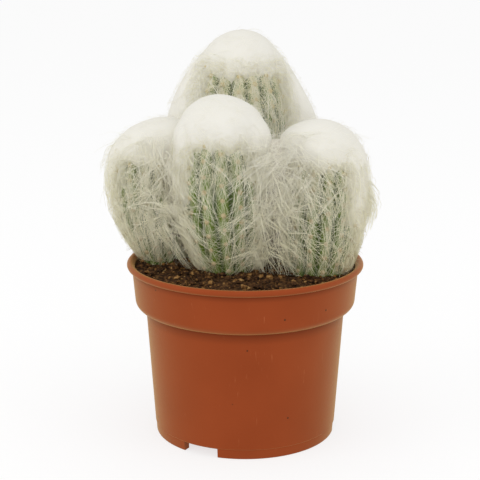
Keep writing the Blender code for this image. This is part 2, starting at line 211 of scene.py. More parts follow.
# %% [markdown]
# The pot is moulded polypropylene: an even terracotta orange with a satin skin. Soil dust leaves a
# few dark specks, handling leaves pale scuffs, and the moulded surface waves very slightly, which
# breaks up the highlights. Under the lip and under the band the colour is darkened as painted shade.
# All of it reads object coordinates, so it stays put from every side.

# %% Terracotta plastic
PLASTIC_COLOUR = (0.325, 0.058, 0.0148)
PLASTIC_DEEP = (0.298, 0.052, 0.013)
SPECK_COLOUR = (0.07, 0.025, 0.012)
SCUFF_COLOUR = (0.50, 0.15, 0.06)
# The colour of the painted shade under the lip and under the band
PAINTED_SHADE_COLOUR = (0.09, 0.016, 0.005)
SHEEN_TINT = (1.0, 0.78, 0.3, 1.0)
TONE_SIZE = 30 * MM
SPECK_SPACING = 9 * MM
SCRATCH_WIDTH = 1.1 * MM
SCUFF_SIZE = 16 * MM
UNDER_LIP = (83.5 * MM, 86.8 * MM)
UNDER_BAND = (60.5 * MM, 65.8 * MM)

plastic, tree, shader, place = new_material(
    "terracotta plastic", 0.38, Specular_IOR_Level=0.06,
    Sheen_Weight=0.5, Sheen_Roughness=0.45, Sheen_Tint=SHEEN_TINT,
)
tone = noise(tree, place, TONE_SIZE).outputs["Fac"]
colour = mix_colour(tree, between(tree, tone, 0.35, 0.7), PLASTIC_COLOUR, PLASTIC_DEEP)

# A speck sits in the middle of about one cell in three
cells = add(tree, "ShaderNodeTexVoronoi", {"Vector": place, "Scale": 1 / SPECK_SPACING, "Randomness": 1.0})
dots = between(tree, cells.outputs["Distance"], 0.045, 0.075, 1.0, 0.0)
picked = add(tree, "ShaderNodeSeparateColor", {0: cells.outputs["Color"]}).outputs[0]
specks = calc(tree, "MULTIPLY", dots, between(tree, picked, 0.6, 0.65))
colour = mix_colour(tree, specks, colour, SPECK_COLOUR)

# Scuffs are fine scratches that show only here and there
stretch = {"Vector": place, "Rotation": (0.3, 0.5, 0.0), "Scale": (1, 1, 0.12)}
stretched = add(tree, "ShaderNodeMapping", stretch).outputs[0]
scratch = noise(tree, stretched, SCRATCH_WIDTH).outputs["Fac"]
patch = noise(tree, place, SCUFF_SIZE).outputs["Fac"]
scuff = calc(tree, "MULTIPLY", between(tree, scratch, 0.66, 0.74), between(tree, patch, 0.52, 0.62))
colour = mix_colour(tree, calc(tree, "MULTIPLY", scuff, 0.4), colour, SCUFF_COLOUR)
level = add(tree, "ShaderNodeSeparateXYZ", {0: place}).outputs["Z"]
# Painted shade: the colour darkens just below the lip bead and just below the band's foot
for shade_foot, shade_top in (UNDER_LIP, UNDER_BAND):
    painted_shade = between(tree, level, shade_foot, shade_top, 0.0, 0.5)
    painted_shade = calc(tree, "MULTIPLY", painted_shade, calc(tree, "LESS_THAN", level, shade_top))
    colour = mix_colour(tree, painted_shade, colour, PAINTED_SHADE_COLOUR)
tree.links.new(colour, shader.inputs["Base Color"])
skin = grain(tree, place, 1.2 * MM, 0.12)
tree.links.new(skin.outputs["Normal"], shader.inputs["Normal"])
tree.links.new(between(tree, skin.outputs["Tone"], 0.3, 0.7, 0.34, 0.44), shader.inputs["Roughness"])
print("plastic:", len(tree.nodes), "nodes")

# %% [markdown]
# Peat is nearly black where it is damp and shaded, and golden brown on its fibres and crumbs.
# One ramp over a noise gives both, and the shared grain roughens it. Crumbs use a lighter, warmer
# ramp of the same kind.

# %% Peat and crumbs
def peat_material(name, dark, middle, light, size):
    made, tree, shader, place = new_material(name, 0.9, Specular_IOR_Level=0.15)
    coarse = noise(tree, place, size, 5.0).outputs["Fac"]
    colour = ramp(tree, coarse, [(0.34, dark), (0.55, middle), (0.76, light)])
    tree.links.new(colour, shader.inputs["Base Color"])
    skin = grain(tree, place, 0.7 * MM, 0.8)
    tree.links.new(skin.outputs["Normal"], shader.inputs["Normal"])
    return made


peat = peat_material("dark peat", (0.013, 0.006, 0.003), (0.075, 0.033, 0.012), (0.26, 0.13, 0.045), 1.8 * MM)
crumb = peat_material("golden crumbs", (0.07, 0.03, 0.01), (0.27, 0.135, 0.04), (0.6, 0.4, 0.17), 1.6 * MM)
print("materials so far:", [m.name for m in bpy.data.materials])

# %% [markdown]
# Loose wool lies matted on the skin in long pale threads. As meshes they would cost much and show
# little, so the skin's material paints them: noise stretched along the stem makes lines, a slow swirl
# bends them, and two layers lean opposite ways. The amount says how much of the skin they hide.
# The group puts out only a mask, and the material mixes its colours by it.

# %% Matted strands that lie on the skin
STRAND_WIDTH = 0.38 * MM
STRAND_LENGTH_SHARE = 0.1
STRAND_WANDER = 7 * MM
SWIRL_SIZE = 8 * MM
LAYER_TILTS = ((0.35, 0.3, 0.0), (-0.4, -0.45, 0.0))

strand_group, gin, gout = new_group(
    "Matted strands",
    "ShaderNodeTree",
    [("Place", "NodeSocketVector"), ("Amount", "NodeSocketFloat")],
    [("Mask", "NodeSocketFloat")],
)
t = strand_group
swirl = noise(t, gin["Place"], SWIRL_SIZE, 1.0).outputs["Color"]
bend = scaled(t, vector(t, "SUBTRACT", swirl, (0.5, 0.5, 0.5)), STRAND_WANDER)
bent = vector(t, "ADD", gin["Place"], bend)
layers = []
for tilt in LAYER_TILTS:
    values = {"Vector": bent, "Rotation": tilt, "Scale": (1.0, 1.0, STRAND_LENGTH_SHARE)}
    leaning = add(t, "ShaderNodeMapping", values, vector_type="TEXTURE").outputs[0]
    stretched = vector(t, "MULTIPLY", leaning, (1.0, 1.0, STRAND_LENGTH_SHARE**2))
    layers.append(noise(t, stretched, STRAND_WIDTH, 1.0).outputs["Fac"])
edge = between(t, gin["Amount"], 0.2, 0.9, 0.78, 0.34)
over = calc(t, "SUBTRACT", calc(t, "MAXIMUM", *layers), edge)
t.links.new(between(t, over, -0.02, 0.05), gout["Mask"])
print("strand group:", len(t.nodes), "nodes")

# %% [markdown]
# The stem's skin is a soft mid green. Areoles are felted and tan, and spines are straw yellow. The
# wool is creamy white at the crown and tanner near the soil, where it is older and dusty, so each of
# these finishes blends two colours by the height above the soil; the lower colour is also darker, as
# painted shade. The short hair in a stem's window is young and a little yellower, and the hair at the
# soil is old and browner, partly as painted shade.

# %% Skin, felt, spines and wool
BLEND_HEIGHT = 75 * MM


def dust_and_shade_material(name, low, high, roughness, grain_size, strength, spread=0.35, **sockets):
    """A plant finish that shifts from one colour near the soil to another at the crown; the lower one is
    darker, partly dust and partly painted shade.
    """
    made, tree, shader, place = new_material(name, roughness, **sockets)
    height = add(tree, "ShaderNodeSeparateXYZ", {0: place}).outputs["Z"]
    skin = grain(tree, place, grain_size, strength)
    rise = between(tree, height, SOIL_Z, SOIL_Z + BLEND_HEIGHT)
    wander = calc(tree, "MULTIPLY_ADD", calc(tree, "SUBTRACT", skin.outputs["Tone"], 0.5), spread * 2, rise)
    colour = mix_colour(tree, between(tree, wander, 0.0, 1.0), low, high)
    tree.links.new(colour, shader.inputs["Base Color"])
    tree.links.new(skin.outputs["Normal"], shader.inputs["Normal"])
    return made


# Every finish here is darker near the soil: partly dust and age, partly painted shade
flesh = dust_and_shade_material("green skin", (0.15, 0.23, 0.018), (0.20, 0.30, 0.03), 0.6, 2.5 * MM, 0.5)
felt = dust_and_shade_material("areole felt", (0.58, 0.46, 0.26), (0.74, 0.64, 0.38), 0.95, 0.5 * MM, 0.8)
straw = dust_and_shade_material("straw spines", (0.50, 0.40, 0.20), (0.80, 0.70, 0.44), 0.5, 3 * MM, 0.1)
wool_felt = dust_and_shade_material("wool felt", (0.85, 0.81, 0.66), (0.85, 0.83, 0.76), 0.95, 0.9 * MM, 0.4)
wool_hair = dust_and_shade_material(
    "wool hair", (0.93, 0.88, 0.6), (0.965, 0.94, 0.82), 0.8, 4 * MM, 0.0,
    Sheen_Weight=0.5, Sheen_Roughness=0.5,
)
young_hair = dust_and_shade_material("young hair", (0.89, 0.86, 0.56), (0.92, 0.89, 0.69), 0.8, 4 * MM, 0.0)
old_and_shaded_hair = dust_and_shade_material("old hair", (0.66, 0.58, 0.36), (0.92, 0.87, 0.6), 0.8, 4 * MM, 0.0)
old_and_shaded_wool = dust_and_shade_material("old wool", (0.26, 0.205, 0.13), (0.86, 0.82, 0.72), 0.95, 1.4 * MM, 0.5, 0.15)
print("materials:", [m.name for m in bpy.data.materials])

# %% [markdown]
# The skin is darker in its furrows, a painted shade, and the matted strands lie over it. Two values
# that its mesh will carry steer this: "cover" is low in the window that each stem shows and high round
# it, and "crest" is high on the ribs. A soft noise makes the strands thicker in some patches than in others.

# %% Furrows and matted strands on the green skin
MATTED_COLOUR = (0.76, 0.71, 0.50)
FURROW_SHADE_COLOUR = (0.055, 0.092, 0.012)
MATTED_PATCH = 8 * MM

tree = flesh.node_tree
shader = tree.nodes["Principled BSDF"]
green = shader.inputs["Base Color"].links[0].from_socket
place = add(tree, "ShaderNodeTexCoord").outputs["Object"]
amount = add(tree, "ShaderNodeAttribute", attribute_name="cover").outputs["Fac"]
crest = add(tree, "ShaderNodeAttribute", attribute_name="crest").outputs["Fac"]
patches = calc(tree, "SUBTRACT", noise(tree, place, MATTED_PATCH).outputs["Fac"], 0.56)
amount = calc(tree, "ADD", amount, calc(tree, "MULTIPLY", patches, 0.9))
amount = calc(tree, "ADD", amount, between(tree, crest, 0.0, 1.0, -0.25, 0.1))
matted = add(tree, "ShaderNodeGroup", {"Place": place, "Amount": amount}, node_tree=strand_group)
# Painted shade: the green turns darker down in the furrows between the ribs
green = mix_colour(tree, between(tree, crest, 0.2, 0.9), FURROW_SHADE_COLOUR, green)
tree.links.new(mix_colour(tree, matted.outputs["Mask"], green, MATTED_COLOUR), shader.inputs["Base Color"])
print("green skin:", len(tree.nodes), "nodes")

# %% [markdown]
# Some pieces are built point by point with bmesh, and some are made by modifiers. Either way a
# piece ends as a plain mesh whose places are in the mesh itself, because the frame takes only those.

# %% Helpers that make objects
def in_scene(name, mesh):
    made = bpy.data.objects.new(name, mesh)
    bpy.context.scene.collection.objects.link(made)
    return made


def built(name, shape):
    """Turns a finished bmesh into an object."""
    mesh = bpy.data.meshes.new(name)
    shape.to_mesh(mesh)
    shape.free()
    return in_scene(name, mesh)


def plain(obj):
    """Replaces an object by a plain mesh of what its modifiers make, under the same name."""
    name = obj.name
    bpy.context.view_layer.update()
    mesh = bpy.data.meshes.new_from_object(obj.evaluated_get(bpy.context.evaluated_depsgraph_get()))
    mesh.transform(obj.matrix_world)
    bpy.data.objects.remove(obj)
    return in_scene(name, mesh)


print("object helpers ready")

# %% [markdown]
# The pot is a turned shape, so its section is drawn once as (radius, height) points and a Screw
# modifier spins it. Arcs round the lip, the band's foot and the floor's corner. The notches in the
# foot ring and the drain holes are cut by a Boolean with a whole collection of cutters.

# %% The pot's section, turned
WALL = 1.2 * MM
LIP_BEAD = 1.6 * MM
BAND_TOP_RADIUS = 57.4 * MM
BAND_FOOT_RADIUS = 56.0 * MM
BAND_FOOT_Z = 66.4 * MM
BAND_CORNER = 4.2 * MM
BODY_TOP_RADIUS = 50.6 * MM
BODY_FOOT_RADIUS = 46.5 * MM
FLOOR_CORNER = 2.5 * MM
FOOT_HEIGHT = 5.0 * MM
FOOT_RADIUS = 46.0 * MM
FOOT_WIDTH = 4.2 * MM
POT_SIDES = 160


def arc(radius, middle_r, middle_z, start_deg, end_deg, steps):
    """Points along an arc round a middle."""
    turns = [math.radians(start_deg + (end_deg - start_deg) * i / steps) for i in range(steps + 1)]
    return [(middle_r + radius * math.cos(a), middle_z + radius * math.sin(a)) for a in turns]


def turned(name, profile, sides):
    """A profile of (radius, height) points spun round the pot's axis."""
    shape = bmesh.new()
    line = [shape.verts.new((r, 0.0, z)) for r, z in profile]
    for start, end in zip(line, line[1:]):
        shape.edges.new((start, end))
    made = built(name, shape)
    made.location = POT_AXIS
    screw = made.modifiers.new("Turn", "SCREW")
    screw.steps = screw.render_steps = sides
    screw.use_merge_vertices = True
    screw.merge_threshold = 0.00001
    return made


corner_r = BODY_FOOT_RADIUS - WALL - FLOOR_CORNER
corner_z = FOOT_HEIGHT + WALL + FLOOR_CORNER
bead_r, bead_z = RIM_RADIUS - LIP_BEAD, POT_HEIGHT - LIP_BEAD
band_r, band_z = BAND_FOOT_RADIUS - BAND_CORNER, BAND_FOOT_Z + BAND_CORNER
pot_profile = [
    (0.0, FOOT_HEIGHT + WALL),
    *arc(FLOOR_CORNER, corner_r, corner_z, -90, 0, 6),
    (BODY_TOP_RADIUS - WALL, BAND_FOOT_Z),
    *arc(BAND_CORNER, band_r - WALL, band_z + WALL, -75, 0, 8),
    (BAND_TOP_RADIUS - WALL, POT_HEIGHT - LIP_BEAD),
    *arc(LIP_BEAD, bead_r, bead_z, 150, -80, 16),
    *arc(0.6 * MM, BAND_TOP_RADIUS + 0.6 * MM, bead_z - LIP_BEAD - 0.6 * MM, 100, 180, 4),
    *arc(BAND_CORNER, band_r, band_z, 0, -82, 12),
    *arc(1.2 * MM, BODY_TOP_RADIUS + 1.2 * MM, BAND_FOOT_Z - 1.2 * MM, 95, 180, 4),
    (BODY_FOOT_RADIUS + 0.05 * MM, FOOT_HEIGHT + 0.3 * MM),
    (BODY_FOOT_RADIUS - 0.25 * MM, FOOT_HEIGHT),
    *arc(0.6 * MM, FOOT_RADIUS - 0.6 * MM, 0.6 * MM, 0, -90, 4),
    (FOOT_RADIUS - FOOT_WIDTH, 0.0),
    (FOOT_RADIUS - FOOT_WIDTH, FOOT_HEIGHT),
    (0.0, FOOT_HEIGHT),
]
pot = turned("nursery_pot", pot_profile, POT_SIDES)
print("pot's section:", len(pot_profile), "points")

# %% Notches in the foot ring, and drain holes
NOTCH_COUNT = 3
NOTCH_WIDTH = 19.0 * MM
NOTCH_MIDDLE_DEG = -119.0
DRAIN_COUNT = 6
DRAIN_RADIUS = 4.0 * MM
DRAIN_CIRCLE = 30.0 * MM
cutters = bpy.data.collections.new("pot cutters")
bpy.context.scene.collection.children.link(cutters)


def notch_shape(shape):
    bmesh.ops.create_cube(shape, size=1.0)
    bmesh.ops.scale(shape, vec=(3 * FOOT_WIDTH, NOTCH_WIDTH, 2 * FOOT_HEIGHT), verts=shape.verts)


def drain_shape(shape):
    bmesh.ops.create_cone(
        shape, cap_ends=True, segments=32, radius1=DRAIN_RADIUS, radius2=DRAIN_RADIUS, depth=6 * WALL
    )


def ring_of_cutters(count, make_shape, radius, z):
    """Adds cutters at even turns round the pot's axis, the first in line with the notch that shows."""
    for i in range(count):
        shape = bmesh.new()
        make_shape(shape)
        turn = 2 * math.pi * i / count + math.radians(NOTCH_MIDDLE_DEG)
        cutter = built("cutter", shape)
        cutters.objects.link(cutter)
        cutter.location = POT_AXIS + Vector((radius * math.cos(turn), radius * math.sin(turn), z))
        cutter.rotation_euler.z = turn


ring_of_cutters(NOTCH_COUNT, notch_shape, FOOT_RADIUS - FOOT_WIDTH / 2, -0.2 * MM)
ring_of_cutters(DRAIN_COUNT, drain_shape, DRAIN_CIRCLE, FOOT_HEIGHT)
cut = pot.modifiers.new("Notches and drains", "BOOLEAN")
cut.operand_type = "COLLECTION"
cut.collection = cutters
pot = plain(pot)
for cutter in list(cutters.objects):
    bpy.data.objects.remove(cutter)
bpy.data.collections.remove(cutters)
pot.data.materials.clear()
pot.data.materials.append(plastic)
pot.data.shade_smooth()
pot.data.set_sharp_from_angle(angle=math.radians(32))
print("pot:", len(pot.data.polygons), "faces")

# %% [markdown]
# Each stem follows one rule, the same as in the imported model: a foot and a crown, a radius that
# swells to a belly and closes in a dome, and ribs whose depth fades at the crown. Anything that grows
# on a stem asks the rule where the skin is, so ribs, areoles and hair always agree.

# %% The rule that every stem follows
RIB_DEPTH = 2.6 * MM
AREOLE_PITCH = 7.5 * MM
FIRST_AREOLE = 3.5 * MM
ROOT_DEPTH = 12.0 * MM
DOME_POWER = 2.3


def stem(name, foot, crown, crown_z, radii, belly_share, ribs, turn_deg, seed, **wool):
    """One column: places in millimetres from the pot's axis, radii at the foot and the belly."""
    height = crown_z * MM - SOIL_Z
    belly_radius = radii[1] * MM
    return SimpleNamespace(
        name=name,
        foot=Vector((*foot, 0.0)) * MM + POT_AXIS,
        crown=Vector((*crown, 0.0)) * MM + POT_AXIS,
        height=height,
        foot_radius=radii[0] * MM,
        belly_radius=belly_radius,
        size=(height / (83 * MM)) * (belly_radius / (22 * MM)),
        belly_share=belly_share,
        ribs=ribs,
        turn=math.radians(turn_deg),
        seed=seed,
        cap_share=(wool["cap_z"] * MM - SOIL_Z) / height,
        side_share=(wool["side_z"] * MM - SOIL_Z) / height,
        window=math.radians(wool["window_deg"]),
        window_half=math.radians(wool["window_half_deg"]),
        wool_side=wool["side"] * MM,
        wool_top=wool["top"] * MM,
        shoulder=wool["shoulder"] * MM,
        flare=wool["flare"] * MM,
        drift=Vector(wool["drift"]) * MM,
        lobe_turn=math.radians(wool["lobe"][0]),
        lobe=wool["lobe"][1] * MM,
        streaks=wool["streaks"],
        haze=wool["haze"],
    )


STEMS = (
    stem(
        "front", (-7.5, -7), (-12, -16), 170.5, (16.5, 22), 0.55, 16, -90, 11,
        cap_z=149, side_z=126, window_deg=-90, window_half_deg=50, side=4.4, top=5.2,
        shoulder=2.0, flare=0, drift=(-1, 0, 1.6), lobe=(0, 2.0), streaks=0.35, haze=0.02,
    ),
    stem(
        "left", (-41, 10), (-48.5, 12.5), 155.5, (12, 20.5), 0.58, 16, -96, 12,
        cap_z=137, side_z=112, window_deg=-98, window_half_deg=46, side=4.2, top=4.8,
        shoulder=2.4, flare=0, drift=(8, 0, 1.6), lobe=(10, 1.5), streaks=1.7, haze=0.1,
    ),
    stem(
        "right", (36, -11.5), (38.5, -10), 158.5, (15.5, 20.5), 0.55, 16, -84, 13,
        cap_z=139, side_z=108, window_deg=-102, window_half_deg=50, side=4.2, top=5.4,
        shoulder=1.8, flare=0, drift=(-2, 0, 0.5), lobe=(180, 3.4), streaks=1.1, haze=0.12,
    ),
    stem(
        "tall", (-1, 35), (-3.4, 39), 196, (17.5, 27.5), 0.58, 18, -90, 14,
        cap_z=178, side_z=118, window_deg=-86, window_half_deg=66, side=4.6, top=6.6,
        shoulder=0, flare=11.5, drift=(1.6, 0, 0.8), lobe=(0, 0), streaks=1.1, haze=0.18,
    ),
)
BY_NAME = {s.name: s for s in STEMS}
print("stems:", [(s.name, round(s.height / MM)) for s in STEMS])

# %% [markdown]
# A place on a stem is named by its share of the height and its turn round the axis. These short
# functions answer for any such place: where the skin is, how deep a rib is, and how close the place
# is to the window, the thin-haired side where the stem's green shows.

# %% Places on a stem
def smooth(x):
    """Goes from 0 to 1 with a soft start and a soft end."""
    x = min(max(x, 0.0), 1.0)
    return x * x * (3 - 2 * x)


def beside_window(s, turn, share):
    """0 in the middle of the thin-haired window that each stem shows, 1 at its sides and back."""
    away = abs((turn - s.window + math.pi) % (2 * math.pi) - math.pi)
    wander = 0.1 * math.sin(3 * turn + s.seed) + 0.08 * math.sin(7 * turn + 9 * share + s.seed)
    return smooth((away + wander - s.window_half) / 0.6 + 0.5)


def cover(s, share, turn):
    """How much of the skin the matted strands hide: round the window, under the crown and at the soil."""
    beside = beside_window(s, turn, share) * (0.75 + 0.2 * share)
    under_crown = (0.5 + s.haze) * smooth((share - s.cap_share + 0.1 + s.haze) / 0.14)
    at_soil = 0.55 * smooth((0.07 - share) / 0.06)
    return max(beside, under_crown, at_soil, 0.1)


def axis_point(s, share):
    """The middle of a stem at a share of its height; it leans out from its foot."""
    lean = 1 - (1 - max(share, 0.0)) ** 2
    middle = s.foot.lerp(s.crown, lean)
    middle.z = SOIL_Z + s.height * share
    return middle


def crest_radius(s, share):
    """The radius at the ribs' crests: it swells up to the belly and closes in a dome."""
    if share <= s.belly_share:
        t = max(share, 0.0) / s.belly_share
        return s.foot_radius + (s.belly_radius - s.foot_radius) * (1 - (1 - t) ** 2.2)
    t = min((share - s.belly_share) / (1 - s.belly_share), 1.0)
    return s.belly_radius * math.sqrt(1 - t**DOME_POWER)


def rib_depth(s, share):
    rise = min(max(share * 12, 0.0), 1.0)
    return RIB_DEPTH * rise * min(1.0, crest_radius(s, share) / s.belly_radius * 1.3)


def drifted(s, share):
    """How far the wool has slumped to one side of its stem at a height share."""
    return s.drift * min(max((share - 0.65) / 0.35, 0.0), 1.0) ** 2


def flat_way(turn):
    return Vector((math.cos(turn), math.sin(turn), 0.0))


def skin_frame(s, share, turn):
    """Outward, upward and sideways directions of the smooth stem."""
    low, high = max(share - 0.004, 0.0), min(share + 0.004, 0.998)
    rise = axis_point(s, high) - axis_point(s, low)
    up = (rise + flat_way(turn) * (crest_radius(s, high) - crest_radius(s, low))).normalized()
    side = flat_way(turn + math.pi / 2)
    return side.cross(up).normalized(), up, side


def shaped_ball(name, rings, columns, place):
    """A sphere with each point moved to place(ring, column). Ring 0 is the top pole."""
    shape = bmesh.new()
    bmesh.ops.create_uvsphere(shape, u_segments=columns, v_segments=rings + 1, radius=1.0)
    for v in shape.verts:
        ring = round(math.acos(max(-1.0, min(1.0, v.co.z))) / math.pi * (rings + 1))
        column = round(math.atan2(v.co.y, v.co.x) / (2 * math.pi) * columns) % columns
        v.co = place(ring, column)
    made = built(name, shape)
    made.data.shade_smooth()
    return made


print("widest wool-free stem:", round(2 * max(s.belly_radius for s in STEMS) / MM), "mm")

# %% [markdown]
# The green body is a sphere whose rings are laid along the stem by the rule. Crests are round and
# furrows are sharp, which the cosine of the turn gives when its dips are folded up. Under each areole
# the crest swells a little. The mesh also carries the two values that its material reads. A smooth
# hull without ribs is made too: long hair is laid on it later, and then the hull is taken away.

# %% Green bodies and their smooth hulls
BODY_RINGS = 56
COLUMNS_PER_RIB = 8
HULL_RINGS = 48
HULL_COLUMNS = 64
TUBERCLE = 0.7 * MM


def areole_heights(s, rib):
    """Heights above the soil of the areoles on one rib; neighbouring ribs sit half a step apart."""
    start = FIRST_AREOLE + AREOLE_PITCH * 0.5 * (rib % 2)
    count = int((s.height - 4 * MM - start) / AREOLE_PITCH)
    return [start + AREOLE_PITCH * k for k in range(count)]


def skin_point(s, share, turn):
    """A point on the ribbed skin, with its swellings under the areoles."""
    phase = (turn - s.turn) * s.ribs / (2 * math.pi)
    rib = round(phase)
    crest = abs(math.cos(math.pi * phase))
    start = FIRST_AREOLE + AREOLE_PITCH * 0.5 * (rib % 2)
    along = (share * s.height - start) / AREOLE_PITCH
    near = max(0.0, math.cos(2 * math.pi * along)) * crest**3
    depth = rib_depth(s, share)
    radius = crest_radius(s, share) - depth * (1 - crest**0.8)
    radius += (near - 0.6) * TUBERCLE * depth / RIB_DEPTH
    return axis_point(s, share) + flat_way(turn) * radius


def body_share(ring, rings):
    """Rings are even along the side and crowd together over the dome."""
    t = 1 - ring / rings
    return math.sin(t * math.pi / 2) ** 0.85


def make_body(s):
    columns = s.ribs * COLUMNS_PER_RIB

    def place(ring, column):
        turn = s.turn + 2 * math.pi * column / columns
        if ring > BODY_RINGS:
            return axis_point(s, 0.0) - Vector((0, 0, ROOT_DEPTH))
        if ring == BODY_RINGS:
            return axis_point(s, 0.0) - Vector((0, 0, ROOT_DEPTH)) + flat_way(turn) * s.foot_radius * 0.9
        share = body_share(ring, BODY_RINGS - 1)
        return axis_point(s, 1.0) if ring == 0 else skin_point(s, share, turn)

    body = shaped_ball(f"body_{s.name}", BODY_RINGS, columns, place)
    body.data.materials.append(flesh)
    hidden = body.data.attributes.new("cover", "FLOAT", "POINT")
    ridge = body.data.attributes.new("crest", "FLOAT", "POINT")
    for i, v in enumerate(body.data.vertices):
        share = (v.co.z - SOIL_Z) / s.height
        middle = axis_point(s, min(share, 1.0))
        turn = math.atan2(v.co.y - middle.y, v.co.x - middle.x)
        hidden.data[i].value = cover(s, share, turn)
        ridge.data[i].value = abs(math.cos((turn - s.turn) * s.ribs / 2))
    return body


def make_hull(s):
    """The smooth stem, moved sideways as far as the wool on it has slumped."""

    def place(ring, column):
        turn = 2 * math.pi * column / HULL_COLUMNS
        if ring > HULL_RINGS:
            return axis_point(s, 0.0) - Vector((0, 0, ROOT_DEPTH))
        share = body_share(ring, HULL_RINGS)
        middle = axis_point(s, share) + drifted(s, share)
        return middle + flat_way(turn) * (crest_radius(s, share) if ring else 0.0)

    return shaped_ball(f"hull_{s.name}", HULL_RINGS, HULL_COLUMNS, place)


bodies = {s.name: make_body(s) for s in STEMS}
hulls = {s.name: make_hull(s) for s in STEMS}
print("bodies:", {name: len(body.data.polygons) for name, body in bodies.items()})

# %% [markdown]
# The wool over a crown is so dense that it reads as felt. A closed core gives it its mass: it stands
# off the skin by a thickness that grows from nothing at a ragged edge, and where there is no felt it
# dips under the skin and is hidden. Hair laid over it later gives it its fibres and soft outline.

# %% Wool cores over the crowns
CORE_RINGS = 52
CORE_COLUMNS = 96
FELT_SINK = 0.9 * MM


def felt_amount(s, share, turn):
    """1 where the felt is full, 0 where there is none: over the crown, and lower down at the sides."""
    ragged = 0.008 * math.sin(5 * turn + s.seed) + 0.006 * math.sin(13 * turn + 2 * s.seed)
    ragged *= smooth((1 - share) * 8)
    crown = smooth((share - s.cap_share - ragged) / min(0.2, 0.85 * (1 - s.cap_share)))
    low = s.side_share - 0.3 * smooth((math.sin(turn) + 0.9) / 1.2)
    beside = 0.85 * beside_window(s, turn, share) * smooth((share - low - ragged) / 0.34)
    return max(crown, beside)


def wool_thickness(s, share, turn):
    """The felt's thickness; where there is none, it dips under the furrows."""
    amount = felt_amount(s, share, turn)
    if amount < 0.06:
        return -(RIB_DEPTH + 1.2 * MM) * (1 - amount / 0.06)
    t = max((share - s.cap_share) / (1 - s.cap_share), 0.0)
    wobble = 0.05 * math.sin(6 * turn + 9 * share + s.seed) * math.sin(14 * share)
    lumps = 1 + wobble * smooth((1 - share) * 6)
    flare = s.flare * math.cos(turn) ** 2 * smooth((1 - share) / 0.45) * smooth(share / 0.55) * amount**1.3
    flare *= 1 + 0.3 * max(math.cos(turn), 0.0) * smooth((0.9 - share) / 0.25)
    side = s.wool_side + flare - FELT_SINK
    bulge = s.shoulder + s.lobe * max(math.cos(turn - s.lobe_turn), 0.0)
    round_off = bulge * math.sin(math.pi * min(t, 1.0) ** 0.7)
    full = side + (s.wool_top - FELT_SINK - side) * t * t + round_off
    return full * lumps * amount**0.85


def make_core(s):
    start = max(s.side_share - 0.42, 0.06)

    def place(ring, column):
        turn = 2 * math.pi * column / CORE_COLUMNS
        if ring > CORE_RINGS:
            return axis_point(s, start - 0.03)
        t = 1 - ring / CORE_RINGS
        share = start + (1 - start) * math.sin(t * math.pi / 2) ** 0.9
        if ring == 0:
            return axis_point(s, 1.0) + drifted(s, 1.0) + Vector((0, 0, s.wool_top - FELT_SINK))
        out, _, _ = skin_frame(s, share, turn)
        skin = axis_point(s, share) + drifted(s, share) + flat_way(turn) * crest_radius(s, share)
        return skin + out * (wool_thickness(s, share, turn) - 0.3 * MM)

    core = shaped_ball(f"wool_core_{s.name}", CORE_RINGS, CORE_COLUMNS, place)
    core.data.materials.append(wool_felt)
    return core


cores = {s.name: make_core(s) for s in STEMS}
print("wool cores:", {name: len(core.data.polygons) for name, core in cores.items()})

# %% [markdown]
# One geometry tree makes every kind of hair, because they all differ only in numbers. Root points are
# copied, one for each hair of a lock. Tuft spreads a lock's roots a little, Whirl turns the whole lock
# away from downhill, and Spread turns its hairs apart. Droop bends a hair down along the skin, Lift
# holds it off, and Rise says how soon. Wave curls it, and Stray says how far the hairs of a lock differ.

# %% The hair tree: its settings, and what it reads from the skin
HAIR_NUMBERS = (
    "Length", "Shortest", "Radius", "Spread", "Whirl", "Stray", "Tuft", "Droop", "Lift", "Rise",
    "Wave", "Wave Size", "Floor",
)
HAIR_SETTINGS = [
    ("Geometry", "NodeSocketGeometry"),
    ("Skin", "NodeSocketObject"),
    ("Material", "NodeSocketMaterial"),
    *((name, "NodeSocketInt") for name in ("Hairs", "Segments", "Seed")),
    *((name, "NodeSocketFloat") for name in HAIR_NUMBERS),
]
GEOMETRY_OUT = [("Geometry", "NodeSocketGeometry")]
hair_tree, hin, hout = new_group("Hair on a skin", "GeometryNodeTree", HAIR_SETTINGS, GEOMETRY_OUT)


def on_skin(tree, mesh, value, place):
    """A value of the skin's surface at its nearest point to a place."""
    values = {"Mesh": mesh, "Value": value, "Sample Position": place}
    return add(tree, "GeometryNodeSampleNearestSurface", values, data_type="FLOAT_VECTOR").outputs[0]


def kept(tree, geometry, name, value, data_type="FLOAT_VECTOR"):
    """Stores a value on each point, so that it stays with the hair that the point becomes."""
    values = {"Geometry": geometry, "Name": name, "Value": value}
    made = add(tree, "GeometryNodeStoreNamedAttribute", values, data_type=data_type, domain="POINT")
    return made.outputs[0]


def recalled(tree, name, data_type="FLOAT_VECTOR"):
    return add(tree, "GeometryNodeInputNamedAttribute", {"Name": name}, data_type=data_type).outputs[0]


def random_value(tree, data_type, values):
    return add(tree, "FunctionNodeRandomValue", values, data_type=data_type).outputs


print("hair settings:", [name for name, _ in HAIR_SETTINGS[3:]])

